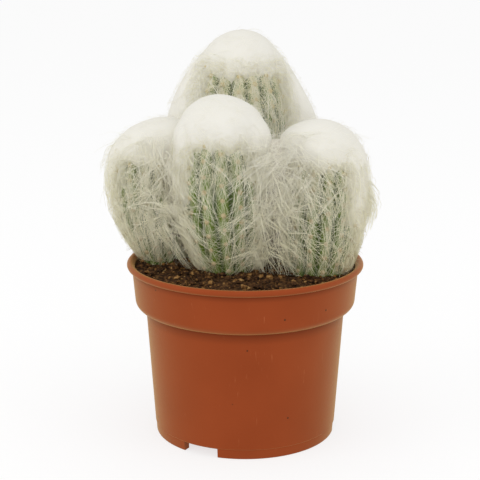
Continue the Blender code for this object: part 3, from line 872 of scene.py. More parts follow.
# %% The hair tree: roots, and the way each hair sets off
t = hair_tree
skin = add(t, "GeometryNodeObjectInfo", {"Object": hin["Skin"]}).outputs["Geometry"]
here = add(t, "GeometryNodeInputPosition").outputs[0]
facing = add(t, "GeometryNodeInputNormal").outputs[0]
roots = add(t, "GeometryNodeMeshToPoints", {"Mesh": hin["Geometry"]}).outputs[0]
heading = random_value(t, "FLOAT", {2: -1.0, 3: 1.0, "Seed": hin["Seed"]})[1]
roots = kept(t, roots, "heading", calc(t, "MULTIPLY", heading, hin["Whirl"]), "FLOAT")
copies = {"Geometry": roots, "Amount": hin["Hairs"]}
roots = add(t, "GeometryNodeDuplicateElements", copies, domain="POINT").outputs[0]
out = vector(t, "NORMALIZE", on_skin(t, skin, facing, here))
plumb = vector(t, "ADD", (0, 0, -1), scaled(t, out, add(t, "ShaderNodeSeparateXYZ", {0: out}).outputs["Z"]))
downhill = vector(t, "NORMALIZE", plumb)
across = vector(t, "CROSS_PRODUCT", out, downhill)
chance = random_value(t, "FLOAT_VECTOR", {1: (1, 1, 1), "Seed": hin["Seed"]})[0]
chance = add(t, "ShaderNodeSeparateXYZ", {0: chance}).outputs
turn = calc(t, "MULTIPLY", calc(t, "SUBTRACT", chance["X"], 0.5), calc(t, "MULTIPLY", hin["Spread"], 2.0))
turn = calc(t, "ADD", turn, recalled(t, "heading", "FLOAT"))
way = vector(t, "ADD", scaled(t, downhill, calc(t, "COSINE", turn)), scaled(t, across, calc(t, "SINE", turn)))
share_of_length = between(t, chance["Y"], 0.0, 1.0, hin["Shortest"], 1.0)
length = calc(t, "MULTIPLY", hin["Length"], share_of_length)
room = calc(t, "SUBTRACT", add(t, "ShaderNodeSeparateXYZ", {0: here}).outputs["Z"], hin["Floor"])
length = calc(t, "MINIMUM", length, calc(t, "MAXIMUM", calc(t, "MULTIPLY", room, 1.1), 2 * MM))
nudge = random_value(t, "FLOAT_VECTOR", {0: (-0.5,) * 3, 1: (0.5,) * 3, "Seed": 3})[0]
foot = vector(t, "ADD", here, scaled(t, nudge, hin["Tuft"]))
for name, value in (("root", foot), ("way", way), ("downhill", downhill)):
    roots = kept(t, roots, name, value)
roots = kept(t, roots, "length", length, "FLOAT")
roots = kept(t, roots, "chance", chance["Z"], "FLOAT")
print("hair tree so far:", len(t.nodes), "nodes")

# %% The hair tree: one line for each hair, laid on the skin
LOW_ZONE = 32 * MM
line = add(t, "GeometryNodeCurvePrimitiveLine", {"End": (0, 0, 0.01)}).outputs[0]
points_along = calc(t, "ADD", hin["Segments"], 1.0)
line = add(t, "GeometryNodeResampleCurve", {"Curve": line, "Count": points_along}).outputs[0]
hairs = add(t, "GeometryNodeInstanceOnPoints", {"Points": roots, "Instance": line}).outputs[0]
hairs = add(t, "GeometryNodeRealizeInstances", {0: hairs}).outputs[0]
along = add(t, "GeometryNodeSplineParameter").outputs["Factor"]
luck = recalled(t, "chance", "FLOAT")
reach = recalled(t, "length", "FLOAT")
straight = scaled(t, recalled(t, "way"), calc(t, "MULTIPLY", reach, along))
fall = calc(t, "MULTIPLY", calc(t, "MULTIPLY", reach, hin["Droop"]), calc(t, "MULTIPLY", along, along))
laid = total(t, recalled(t, "root"), straight, scaled(t, recalled(t, "downhill"), fall))
touching = on_skin(t, skin, here, laid)
normal = vector(t, "NORMALIZE", on_skin(t, skin, facing, laid))
risen = calc(t, "POWER", between(t, along, 0.0, hin["Rise"]), 0.6)
lift = calc(t, "MULTIPLY", calc(t, "MULTIPLY", hin["Lift"], between(t, luck, 0.0, 1.0, 0.35, 1.0)), risen)
level = add(t, "ShaderNodeSeparateXYZ", {0: touching}).outputs["Z"]
level = calc(t, "DIVIDE", calc(t, "SUBTRACT", level, hin["Floor"]), LOW_ZONE)
above_soil = between(t, level, 0.0, 1.0, 0.25, 1.0)
lift = calc(t, "MULTIPLY", lift, above_soil)
ripple = noise(t, laid, 1.0, 1.0, noise_dimensions="4D")
t.links.new(calc(t, "DIVIDE", 1.0, hin["Wave Size"]), ripple.inputs["Scale"])
t.links.new(calc(t, "MULTIPLY", luck, hin["Stray"]), ripple.inputs["W"])
wave = vector(t, "SUBTRACT", ripple.outputs["Color"], (0.5, 0.5, 0.5))
swing = calc(t, "MULTIPLY", calc(t, "MULTIPLY", hin["Wave"], above_soil), calc(t, "SQRT", along))
wave = scaled(t, wave, swing)
placed = total(t, touching, scaled(t, normal, lift), wave)
lowest = add(t, "ShaderNodeCombineXYZ", {0: -1.0, 1: -1.0, 2: hin["Floor"]}).outputs[0]
placed = vector(t, "MAXIMUM", placed, lowest)
hairs = add(t, "GeometryNodeSetPosition", {"Geometry": hairs, "Position": placed}).outputs[0]
print("hair tree so far:", len(t.nodes), "nodes")

# %% The hair tree: a tapering three-sided tube round each line
taper = calc(t, "SUBTRACT", between(t, along, 0.0, 0.25, 0.5, 1.0), calc(t, "MULTIPLY", along, 0.7))
ring = add(t, "GeometryNodeCurvePrimitiveCircle", {"Resolution": 3, "Radius": 1.0}).outputs[0]
stout = calc(t, "MULTIPLY_ADD", calc(t, "POWER", luck, 3.0), 1.2, 0.6)
thick = calc(t, "MULTIPLY", calc(t, "MULTIPLY", hin["Radius"], stout), taper)
tube = {"Curve": hairs, "Profile Curve": ring, "Scale": thick, "Fill Caps": True}
tubes = add(t, "GeometryNodeCurveToMesh", tube).outputs[0]
tubes = add(t, "GeometryNodeRealizeInstances", {0: tubes}).outputs[0]
tubes = add(t, "GeometryNodeSetMaterial", {"Geometry": tubes, "Material": hin["Material"]}).outputs[0]
t.links.new(tubes, hout["Geometry"])
print("hair tree:", len(t.nodes), "nodes")

# %% Helpers that run a tree
HAIR_FLOOR = SOIL_Z + 2 * MM
USUAL_HAIR = {
    "Material": wool_hair, "Floor": HAIR_FLOOR, "Hairs": 1, "Shortest": 0.5, "Droop": 0.0,
    "Whirl": 0.0, "Stray": 40.0, "Tuft": 1.5 * MM,
}


def run_tree(node_tree, name, roots, values):
    """Runs a geometry tree on root points, and returns what it makes as a plain mesh object."""
    mesh = bpy.data.meshes.new(name)
    mesh.from_pydata([tuple(p) for p in roots], [], [])
    host = in_scene(name, mesh)
    modifier = host.modifiers.new("Tree", "NODES")
    modifier.node_group = node_tree
    ids = {item.name: item.identifier for item in node_tree.interface.items_tree if item.in_out == "INPUT"}
    for key, value in values.items():
        modifier[ids[key.replace("_", " ")]] = value
    made = plain(host)
    made.data.shade_smooth()
    made.data.calc_loop_triangles()
    print(f"{name}: {len(roots)} roots, {len(made.data.loop_triangles)} triangles")
    return made


def grow(name, roots, **values):
    """Grows one kind of hair from root points; what isn't given stays as usual."""
    return run_tree(hair_tree, name, roots, {**USUAL_HAIR, **values})


# %% [markdown]
# Hair has two kinds of root. Some grows in bursts from the areoles, so its roots are the areoles
# that show. The rest comes from all over the skin, so its roots are scattered at random and kept by a
# weight: one for the sides, one for the window, one for the felt's edge, and so on. Each scatter has
# a fixed seed, so the same hair grows on every run.

# %% Roots of the hair
WOOL_REACH = 4 * MM


def toward_neighbour(s, share, turn):
    """1 where another stem is close enough for the wool of both to tangle."""
    spot = axis_point(s, share) + flat_way(turn) * crest_radius(s, share)
    gaps = []
    for other in STEMS:
        level = share * s.height / other.height
        if other is not s and level < 1:
            apart = spot - axis_point(other, level)
            gaps.append(math.hypot(apart.x, apart.y) - crest_radius(other, level))
    return smooth((22 * MM - min(gaps, default=1.0)) / (14 * MM))


def areole_roots(s, most_felt, most_beside=1.1, shaggy=None):
    """Places of the areoles that show; shaggy picks the well-haired two in three, or the others."""
    rng = random.Random(s.seed + 5)
    found = []
    for rib in range(s.ribs):
        turn = s.turn + 2 * math.pi * rib / s.ribs
        for height in areole_heights(s, rib):
            share = height / s.height
            picked = rng.random() < 0.62
            buried = toward_neighbour(s, share, turn) > 0.98
            bare = felt_amount(s, share, turn) < most_felt and beside_window(s, turn, share) < most_beside
            if bare and shaggy in (None, picked) and not buried:
                found.append(skin_point(s, share, turn))
    return found


def scattered_roots(s, count, low, high, weight, over_felt=False):
    """Places at random on the smooth stem between two height shares, chosen by a weight of 0 to 1."""
    count = int(count)
    rng = random.Random(f"{s.seed} {count}")
    found = []
    while len(found) < count:
        turn = rng.uniform(0, 2 * math.pi)
        share = rng.uniform(low, high)
        girth = (crest_radius(s, share) + WOOL_REACH, s.belly_radius + WOOL_REACH)
        if rng.random() > weight(s, share, turn) * girth[0] / girth[1]:
            continue
        out, _, _ = skin_frame(s, share, turn)
        lift = wool_thickness(s, share, turn) - 0.5 * MM if over_felt else 0.0
        middle = axis_point(s, share) + drifted(s, share)
        found.append(middle + flat_way(turn) * crest_radius(s, share) + out * max(lift, 0.0))
    return found


print("areoles in all:", sum(len(areole_heights(s, rib)) for s in STEMS for rib in range(s.ribs)))


# %% Weights that say where each kind grows
def on_sides(s, share, turn):
    bare = 1 - 0.9 * felt_amount(s, share, turn)
    return bare * beside_window(s, turn, share) ** 2 * (1 - 0.75 * toward_neighbour(s, share, turn) ** 4)


def at_edge(s, share, turn):
    amount = min(felt_amount(s, share, turn) / 0.85, 1.0)
    return 4 * amount * (1 - amount)


def by_window(s, share, turn):
    return 0.03 + 3.0 * beside_window(s, turn, share) * (1 - beside_window(s, turn, share))


def in_window(s, share, turn):
    return (1 - beside_window(s, turn, share)) * (1 - 0.8 * felt_amount(s, share, turn))


def on_brow(s, share, turn):
    return (1 - 0.7 * beside_window(s, turn, share)) * smooth((share - s.cap_share + 0.16 + s.haze) / 0.14)


def on_felt(s, share, turn):
    return float(felt_amount(s, share, turn) > 0.08)


def between_stems(s, share, turn):
    return by_window(s, share, turn) * (0.1 + 0.9 * toward_neighbour(s, share, turn))


def near_others(s, share, turn):
    near = toward_neighbour(s, share, turn)
    return 4 * near * (1 - near)


def everywhere(s, share, turn):
    return 1.0


pieces = []


def dress(kind, seed, roots, skins=hulls, **settings):
    """Grows one kind of hair on every stem. A setting may be a value, or a rule that reads the stem."""
    for s in STEMS:
        values = {key: value(s) if callable(value) else value for key, value in settings.items()}
        pieces.append(grow(f"{kind}_{s.name}", roots(s), Skin=skins[s.name], Seed=s.seed + seed, **values))


print("usual hair:", {key: value for key, value in USUAL_HAIR.items() if isinstance(value, float)})

# %% [markdown]
# In the window the areoles are what shows. Each sends out a burst of fine curled hairs every way:
# two in three are shaggy, the others thin. From the same areoles, slightly longer hairs run down
# the ribs and turn them pale; a stem with more streaks has more of them.

# %% Bursts of hair at the areoles
dress(
    "areole_hair", 0, lambda s: areole_roots(s, 0.4, 0.8, True), bodies, Material=young_hair,
    Hairs=24, Segments=2, Length=8.5 * MM, Shortest=0.45, Radius=0.085 * MM, Spread=math.pi,
    Lift=2.2 * MM, Rise=0.8, Wave=1.1 * MM, Wave_Size=5 * MM,
)
dress(
    "short_hair", 1, lambda s: areole_roots(s, 0.4, 0.8, False), bodies, Material=young_hair,
    Hairs=18, Segments=2, Length=6.5 * MM, Shortest=0.4, Radius=0.07 * MM, Spread=math.pi,
    Lift=1.8 * MM, Rise=0.8, Wave=1.0 * MM, Wave_Size=5 * MM,
)
dress(
    "rib_hair", 3, lambda s: areole_roots(s, 0.6, 0.9), bodies,
    Hairs=lambda s: int(4 + 14 * s.streaks), Segments=2, Length=10 * MM, Radius=0.09 * MM, Spread=0.4,
    Lift=2.4 * MM, Rise=0.5, Wave=1.6 * MM, Wave_Size=6 * MM,
)

# %% [markdown]
# Round the window the wool is long and lies in locks, four hairs to a root. A short fringe grows
# from the felt's edge and hides it, and a brow of young hair hangs from the crown over the top of
# the window. On the tall stem both stand off a little more, because its felt is thicker.

# %% Wool at the sides, the fringe and the brow
def brow_roots(s):
    """Roots in a belt round the felt's lower edge, a wider and fuller one on a hazier stem."""
    count = 1200 * s.size * (1 + 2 * s.haze)
    return scattered_roots(s, count, s.cap_share - 0.14 - s.haze, s.cap_share + 0.1, on_brow)


dress(
    "side_wool", 50, lambda s: scattered_roots(s, 375 * s.size * (s.side_share + 0.2), 0.04, 0.97, on_sides),
    Hairs=4, Segments=5, Length=22 * MM, Radius=0.11 * MM, Spread=0.25, Whirl=1.3, Stray=8.0,
    Droop=0.3, Lift=4.6 * MM, Rise=0.3, Wave=6 * MM, Wave_Size=10 * MM,
)
dress(
    "fringe", 70, lambda s: scattered_roots(s, 1000 * s.size, 0.1, 1.0, at_edge),
    Segments=3, Length=12 * MM, Shortest=0.3, Radius=0.08 * MM, Spread=1.9,
    Droop=0.2, Lift=lambda s: 4.4 * MM + 0.2 * s.flare, Rise=0.3, Wave=3.5 * MM, Wave_Size=6 * MM,
)
dress(
    "brow", 75, brow_roots, Material=young_hair,
    Segments=2, Length=10 * MM, Shortest=0.3, Radius=0.075 * MM, Spread=1.5,
    Droop=0.2, Lift=lambda s: 3.8 * MM + 0.2 * s.flare, Rise=0.2, Wave=2 * MM, Wave_Size=5 * MM,
)

# %% [markdown]
# Over the green of the window hang long single locks: straight streaks down the ribs, strands that
# sweep across them, loose ones at its borders, and a few thick hairs that catch the light.

# %% Streaks and strands over the window
dress(
    "streaks", 20, lambda s: scattered_roots(s, 60 * s.size * s.streaks, 0.25, 0.9, in_window),
    Hairs=4, Segments=6, Length=28 * MM, Radius=0.1 * MM, Spread=0.12, Whirl=0.4, Stray=6.0,
    Droop=0.3, Lift=3.2 * MM, Rise=0.3, Wave=4 * MM, Wave_Size=12 * MM,
)
dress(
    "sweeping_strands", 25, lambda s: scattered_roots(s, 18 * s.size, 0.3, 0.85, in_window),
    Hairs=5, Segments=6, Length=26 * MM, Radius=0.11 * MM, Spread=0.15, Whirl=1.5, Stray=5.0,
    Droop=0.5, Lift=4.5 * MM, Rise=0.4, Wave=5 * MM, Wave_Size=14 * MM,
)
dress(
    "loose_strands", 30, lambda s: scattered_roots(s, 70 * s.size, 0.15, 0.95, by_window),
    Hairs=3, Segments=7, Length=30 * MM, Radius=0.1 * MM, Spread=0.3, Whirl=1.8, Stray=8.0,
    Droop=0.4, Lift=6 * MM, Rise=0.5, Wave=9 * MM, Wave_Size=14 * MM,
)
dress(
    "thick_strands", 40, lambda s: scattered_roots(s, 20 * s.size, 0.2, 0.9, by_window),
    Segments=6, Length=22 * MM, Radius=0.19 * MM, Spread=1.5,
    Droop=0.3, Lift=5 * MM, Rise=0.4, Wave=6 * MM, Wave_Size=12 * MM,
)

# %% [markdown]
# Where another stem is near, the wool is pushed up into fluff and pointed wisps. At the soil a skirt
# of short dusty hair, darker low down partly as painted shade, closes the gap to the peat. Over the
# crown, fine hairs start all over the felt core and lie close to it, which gives the dense wool its
# fibres and its soft outline.

# %% Fluff, wisps, skirt and crown hair
dress(
    "fluff", 60, lambda s: scattered_roots(s, 44 * s.size, 0.1, 0.8, near_others),
    Hairs=4, Segments=6, Length=24 * MM, Radius=0.1 * MM, Spread=0.4, Whirl=2.5, Stray=8.0,
    Droop=0.3, Lift=8.5 * MM, Rise=0.7, Wave=10 * MM, Wave_Size=10 * MM,
)
dress(
    "wisps", 35, lambda s: scattered_roots(s, 11 * s.size, 0.3, 0.92, between_stems),
    Hairs=10, Segments=6, Length=26 * MM, Radius=0.1 * MM, Spread=0.1, Whirl=1.8, Stray=4.0, Tuft=3 * MM,
    Droop=0.4, Lift=5.5 * MM, Rise=0.3, Wave=5 * MM, Wave_Size=14 * MM,
)
dress(
    "skirt", 80, lambda s: scattered_roots(s, 130 * s.size, 0.0, 0.2, everywhere), Material=old_and_shaded_hair,
    Hairs=2, Segments=3, Length=10 * MM, Shortest=0.4, Radius=0.09 * MM, Spread=1.3, Floor=SOIL_Z - 2 * MM,
    Lift=5 * MM, Rise=0.3, Wave=5 * MM, Wave_Size=5 * MM,
)
dress(
    "cap_hair", 90, lambda s: scattered_roots(s, 1600 * s.size**0.8, 0.1, 1.0, on_felt, over_felt=True),
    cores, Segments=3, Length=9 * MM, Shortest=0.4, Radius=0.06 * MM, Spread=2.4,
    Droop=0.1, Lift=2.0 * MM, Rise=0.7, Wave=3.5 * MM, Wave_Size=5 * MM,
)

# %% [markdown]
# Where two stems stand close, their wool tangles and fills the valley between them. A curved patch is
# laid from one stem to the other, a little sunk in its middle. Locks that point every way and a few
# heavier wisps grow on it, and then the patch is taken away.

# %% Places between two stems
# Each valley: its two stems, the side it opens to, its locks, and whether old wool lies deep in it
VALLEYS = (
    ("front", "left", 1, 104, True),
    ("front", "right", -1, 156, True),
    ("left", "tall", 1, 30, False),
    ("right", "tall", -1, 30, False),
)
BRIDGE_SAG = 2.5 * MM
WIDEST_GAP = 30 * MM
PATCH_ROWS = 24
PATCH_COLUMNS = 12


def bridge_point(a, b, hand, level, t, off, sag):
    """A place on the patch between two stems, its outward way, and the gap it spans."""
    ends = []
    for s in (a, b):
        share = (level - SOIL_Z) / s.height
        ends.append((axis_point(s, share), crest_radius(s, share) + off))
    (start, start_radius), (end, end_radius) = ends
    apart = end - start
    along = apart.normalized()
    lean = math.acos((start_radius - end_radius) / apart.length)
    out = along * math.cos(lean) + Vector((-along.y, along.x, 0.0)) * hand * math.sin(lean)
    spot = (start + out * start_radius).lerp(end + out * end_radius, t)
    return spot - out * sag * 4 * t * (1 - t), out, apart.length - start_radius - end_radius


def make_patch(name, place):
    """A grid of faces, with place(row, column) as its corners."""
    shape = bmesh.new()
    grid = [
        [shape.verts.new(place(row, c)) for c in range(PATCH_COLUMNS + 1)] for row in range(PATCH_ROWS + 1)
    ]
    for row in range(PATCH_ROWS):
        for c in range(PATCH_COLUMNS):
            shape.faces.new((grid[row][c], grid[row][c + 1], grid[row + 1][c + 1], grid[row + 1][c]))
    return built(name, shape)


def valley_top(a, b):
    """How far above the soil a valley reaches."""
    return 0.98 * min(a.height, b.height)


def valley_rise(a, b, level):
    """How far a valley's hair stands off the stems: more toward its top, where the felt is thick."""
    return (3 + 2.5 * (level - SOIL_Z) / valley_top(a, b)) * MM


print("valleys:", [(a, b) for a, b, *_ in VALLEYS])


# %% Tangled wool between the stems
def make_tangle(a, b, hand, count):
    """Locks of loose hair, and a few heavier wisps, that fill the valley between two stems."""

    def place(row, c):
        level = SOIL_Z + valley_top(a, b) * row / PATCH_ROWS
        t = 0.5 - hand * (c / PATCH_COLUMNS - 0.5) * 1.6
        return bridge_point(a, b, hand, level, t, valley_rise(a, b, level), BRIDGE_SAG)[0]

    rng = random.Random(f"{a.name} {b.name}")
    roots = []
    while len(roots) < count:
        level = SOIL_Z + valley_top(a, b) * rng.uniform(0.06, 1.0) ** 0.7
        t = rng.gauss(0.5, 0.15)
        spot, _, gap = bridge_point(a, b, hand, level, t, valley_rise(a, b, level), BRIDGE_SAG)
        if gap < WIDEST_GAP * rng.random():
            roots.append(spot)
    patch = make_patch("patch", place)
    shared = dict(Skin=patch, Segments=6, Droop=0.3, Whirl=math.pi, Rise=0.2)
    tangle = grow(
        f"tangle_{a.name}_{b.name}", roots, Hairs=5, Length=24 * MM, Shortest=0.4, Radius=0.11 * MM,
        Spread=0.5, Lift=3.5 * MM, Wave=8 * MM, Wave_Size=12 * MM, Stray=8.0, Seed=count, **shared,
    )
    wisps = grow(
        f"wisps_{a.name}_{b.name}", roots[::8], Hairs=10, Length=27 * MM, Radius=0.1 * MM, Spread=0.1,
        Lift=5 * MM, Wave=6 * MM, Wave_Size=14 * MM, Stray=4.0, Tuft=3 * MM, Seed=count + 1, **shared,
    )
    bpy.data.objects.remove(patch)
    return [tangle, wisps]


for first, second, hand, locks, _ in VALLEYS:
    pieces += make_tangle(BY_NAME[first], BY_NAME[second], hand, locks)

# %% [markdown]
# In the two valleys beside the front stem one can look in deep between the hairs. A second patch with
# a little thickness lies there as old matted wool, brown at the soil and darkest there partly as painted
# shade, so that no dark hole shows.

# %% Old matted wool deep in the front valleys
MAT_SAG = 6 * MM
MAT_SINK = 2.5 * MM
MAT_WIDTH_SHARE = 0.56


def make_mat(a, b, hand):
    """A thin sheet that sags most at the soil, with a few soft bumps."""

    def place(row, c):
        level = SOIL_Z + valley_top(a, b) * row / PATCH_ROWS - 3 * MM
        t = 0.5 - hand * (c / PATCH_COLUMNS - 0.5) * MAT_WIDTH_SHARE
        ends = 0.4 * (row / PATCH_ROWS) ** 4 + (1 - row / PATCH_ROWS) ** 4
        sag = MAT_SAG + 13 * MM * ends + 0.8 * MM * math.sin(2.1 * row) * math.sin(1.7 * c)
        return bridge_point(a, b, hand, level, t, -MAT_SINK, sag)[0]

    mat = make_patch(f"matted_{a.name}_{b.name}", place)
    thicken = mat.modifiers.new("Thickness", "SOLIDIFY")
    thicken.thickness = 1.5 * MM
    mat = plain(mat)
    # Its colour darkens towards the soil, partly as painted shade
    mat.data.materials.append(old_and_shaded_wool)
    mat.data.shade_smooth()
    return mat


for first, second, hand, _, matted in VALLEYS:
    if matted:
        pieces.append(make_mat(BY_NAME[first], BY_NAME[second], hand))
print("matted patches:", [piece.name for piece in pieces if piece.name.startswith("matted")])

# %% [markdown]
# One tuft of the right stem's wool stands off its outer side at half height and points down. It
# breaks the outline, so it is grown on its own.

# %% The teased tuft
TUFT_TURN = math.radians(-8)
TUFT_HALF_WIDTH = 0.42


def in_tuft(s, share, turn):
    away = abs((turn - TUFT_TURN + math.pi) % (2 * math.pi) - math.pi)
    return smooth(1 - away / TUFT_HALF_WIDTH)


teased = grow(
    "teased_tuft", scattered_roots(BY_NAME["right"], 130, 0.48, 0.66, in_tuft), Skin=hulls["right"],
    Segments=6, Length=14 * MM, Radius=0.12 * MM, Spread=0.6, Droop=0.2,
    Lift=8.5 * MM, Rise=0.8, Wave=4 * MM, Wave_Size=5 * MM, Seed=99,
)
pieces.append(teased)

# %% [markdown]
# An areole's felt pad and its spines are small and alike, so a second tree places one model of them
# at every areole, facing out of the skin, turned at random, and then makes them real.

# %% The tree that sets areoles on a skin
AREOLE_SETTINGS = [
    ("Geometry", "NodeSocketGeometry"),
    ("Skin", "NodeSocketObject"),
    ("Model", "NodeSocketObject"),
    ("Material", "NodeSocketMaterial"),
    ("Smallest", "NodeSocketFloat"),
    ("Seed", "NodeSocketInt"),
]
set_tree, sin, sout = new_group("Set on a skin", "GeometryNodeTree", AREOLE_SETTINGS, GEOMETRY_OUT)
t = set_tree
skin = add(t, "GeometryNodeObjectInfo", {"Object": sin["Skin"]}).outputs["Geometry"]
model = add(t, "GeometryNodeObjectInfo", {"Object": sin["Model"]}).outputs["Geometry"]
here = add(t, "GeometryNodeInputPosition").outputs[0]
facing = add(t, "GeometryNodeInputNormal").outputs[0]
points = add(t, "GeometryNodeMeshToPoints", {"Mesh": sin["Geometry"]}).outputs[0]
outward = on_skin(t, skin, facing, here)
tilt = add(t, "FunctionNodeAlignRotationToVector", {"Vector": outward}, axis="Z").outputs[0]
spin = random_value(t, "FLOAT", {3: 2 * math.pi, "Seed": sin["Seed"]})[1]
spin = add(t, "ShaderNodeCombineXYZ", {2: spin}).outputs[0]
turned_by = add(t, "FunctionNodeRotateRotation", {0: tilt, 1: spin}, rotation_space="LOCAL").outputs[0]
size = random_value(t, "FLOAT", {2: sin["Smallest"], 3: 1.0, "Seed": 7})[1]
copies = {"Points": points, "Instance": model, "Rotation": turned_by, "Scale": size}
made = add(t, "GeometryNodeInstanceOnPoints", copies).outputs[0]
made = add(t, "GeometryNodeRealizeInstances", {0: made}).outputs[0]
made = add(t, "GeometryNodeSetMaterial", {"Geometry": made, "Material": sin["Material"]}).outputs[0]
t.links.new(made, sout["Geometry"])


def set_on(name, roots, **values):
    """Sets one model at every root, and returns them all as one plain mesh object."""
    return run_tree(set_tree, name, roots, values)


print("areole tree:", len(t.nodes), "nodes")


# %% Felt pads and rings of spines at the areoles
def pad_model():
    shape = bmesh.new()
    bmesh.ops.create_icosphere(shape, subdivisions=1, radius=1.0)
    for v in shape.verts:
        v.co = (v.co.x * 1.5 * MM, v.co.y * 1.5 * MM, v.co.z * 1.0 * MM)
    return built("pad", shape)


def spine_model(count, length, radius):
    """Three-sided spines round an areole, low ones and steep ones by turns."""
    rng = random.Random(3)
    shape = bmesh.new()
    for i in range(count):
        turn = 2 * math.pi * i / count + rng.uniform(-0.15, 0.15)
        lean = math.radians(16 + 24 * (i % 3) + rng.uniform(-6, 6))
        way = flat_way(turn) * math.cos(lean) + Vector((0, 0, math.sin(lean)))
        long = length * rng.uniform(0.7, 1.0)
        made = bmesh.ops.create_cone(
            shape, cap_ends=True, segments=3, radius1=radius, radius2=radius * 0.15, depth=long
        )
        spun = way.to_track_quat("Z", "Y").to_matrix()
        for v in made["verts"]:
            v.co = spun @ (v.co + Vector((0, 0, long / 2)))
    return built("spines", shape)


pad, spines = pad_model(), spine_model(8, 5.6 * MM, 0.14 * MM)
ON_AREOLES = (("areoles", pad, felt, 0.8, 1), ("spines", spines, straw, 0.75, 2))
for s in STEMS:
    roots = areole_roots(s, 0.8)
    for kind, model, finish, smallest, seed in ON_AREOLES:
        made = set_on(
            f"{kind}_{s.name}", roots, Skin=bodies[s.name], Model=model, Material=finish,
            Smallest=smallest, Seed=seed,
        )
        pieces.append(made)

# %% [markdown]
# The soil is one plug of peat that fills the pot. It is a sphere whose rings are laid over the top and
# down the wall, with slow waves by formula, and a Displace modifier that roughens only its top.

# %% Soil
SOIL_GAP = 0.3 * MM
SOIL_RADIUS = BAND_TOP_RADIUS - WALL - SOIL_GAP
SOIL_SIDE = [
    (BAND_FOOT_RADIUS - WALL - SOIL_GAP, BAND_FOOT_Z + BAND_CORNER + WALL),
    (BODY_TOP_RADIUS - WALL - SOIL_GAP, BAND_FOOT_Z),
    (BODY_FOOT_RADIUS - WALL - SOIL_GAP, FOOT_HEIGHT + WALL + FLOOR_CORNER),
    (BODY_FOOT_RADIUS - WALL - FLOOR_CORNER, FOOT_HEIGHT + WALL + SOIL_GAP),
]


def soil_height(x, y):
    """The top of the soil before it is roughened: a low mound with waves."""
    wave = math.sin(x / (5.1 * MM) + 0.7) * math.cos(y / (4.3 * MM))
    wave += 0.6 * math.sin((x + 1.7 * y) / (7.9 * MM))
    mound = 1 - (x * x + y * y) / BAND_TOP_RADIUS**2
    return SOIL_Z + 0.7 * MM * wave + 2.5 * MM * mound


def make_soil():
    top_rings, columns = 60, 160
    rings = top_rings + 1 + len(SOIL_SIDE)

    def place(ring, column):
        turn = 2 * math.pi * column / columns
        if ring > rings:
            return POT_AXIS + Vector((0, 0, FOOT_HEIGHT + WALL + SOIL_GAP))
        if ring > top_rings + 1:
            radius, z = SOIL_SIDE[ring - top_rings - 2]
            return POT_AXIS + flat_way(turn) * radius + Vector((0, 0, z))
        spot = flat_way(turn) * SOIL_RADIUS * min(ring / top_rings, 1.0)
        low = 2 * MM if ring == top_rings + 1 else 0.0
        return POT_AXIS + spot + Vector((0, 0, soil_height(spot.x, spot.y) - low))

    soil = shaped_ball("soil_fill", rings, columns, place)
    upper = soil.vertex_groups.new(name="upper")
    upper.add([v.index for v in soil.data.vertices if v.co.z > 80 * MM], 1.0, "REPLACE")
    lumps = bpy.data.textures.new("soil lumps", "CLOUDS")
    lumps.noise_scale = 0.005
    lumps.noise_depth = 3
    rough = soil.modifiers.new("Lumps", "DISPLACE")
    rough.texture = lumps
    rough.texture_coords = "LOCAL"
    rough.direction = "Z"
    rough.vertex_group = "upper"
    rough.mid_level = 0.55
    rough.strength = 3.2 * MM
    soil = plain(soil)
    soil.data.materials.append(peat)
    return soil


soil = make_soil()
print("soil:", len(soil.data.polygons), "faces")

# %% [markdown]
# Dark peat crumbs, golden bark bits, grit and fibres lie on the soil. Crumbs and grit are two angular
# lump models that the areoles' tree sets at random places, turns and sizes. The fibres are short hairs
# that point every way, so the hair tree grows them.


# %% Crumbs on the soil
def crumb_roots(count, seed):
    """Random places on the soil that are clear of the stems."""
    rng = random.Random(seed)
    found = []
    while len(found) < count:
        spot = flat_way(rng.uniform(0, 2 * math.pi)) * (SOIL_RADIUS - 2 * MM) * math.sqrt(rng.random())
        world = POT_AXIS + spot
        if min((world - s.foot).length - s.foot_radius for s in STEMS) > 0.5 * MM:
            found.append(world + Vector((0, 0, soil_height(spot.x, spot.y) + rng.uniform(-0.4, 1.0) * MM)))
    return found


def lump_model(radius, finer):
    """A flat angular crumb with dented sides."""
    rng = random.Random(8)
    shape = bmesh.new()
    bmesh.ops.create_icosphere(shape, subdivisions=1 + finer, radius=radius)
    for v in shape.verts:
        dent = 0.5 + 0.5 * math.sin(v.co.x / radius * 3.1 + 1) * math.sin(v.co.y / radius * 3.7 + 2)
        v.co *= rng.uniform(0.72, 1.1) * (0.75 + 0.4 * dent)
        v.co.y *= 0.8
        v.co.z *= 0.6
    return built("lump", shape)


lump = lump_model(2.3 * MM, 1)
small = lump_model(1.1 * MM, 0)
CRUMBS = (
    ("peat_crumbs", 330, lump, peat, 0.25, 4),
    ("golden_crumbs", 110, lump, crumb, 0.3, 5),
    ("golden_grit", 420, small, crumb, 0.3, 6),
)
ground = []
for name, count, model, finish, smallest, seed in CRUMBS:
    roots = crumb_roots(count, seed)
    ground.append(set_on(name, roots, Skin=soil, Model=model, Material=finish, Smallest=smallest, Seed=seed))
fibres = grow(
    "peat_fibres", crumb_roots(420, 7), Skin=soil, Material=crumb, Floor=SOIL_Z - 3 * MM,
    Segments=4, Length=6 * MM, Shortest=0.3, Radius=0.09 * MM, Spread=math.pi,
    Lift=1.4 * MM, Rise=0.5, Wave=3 * MM, Wave_Size=3 * MM, Seed=8,
)
ground.append(fibres)

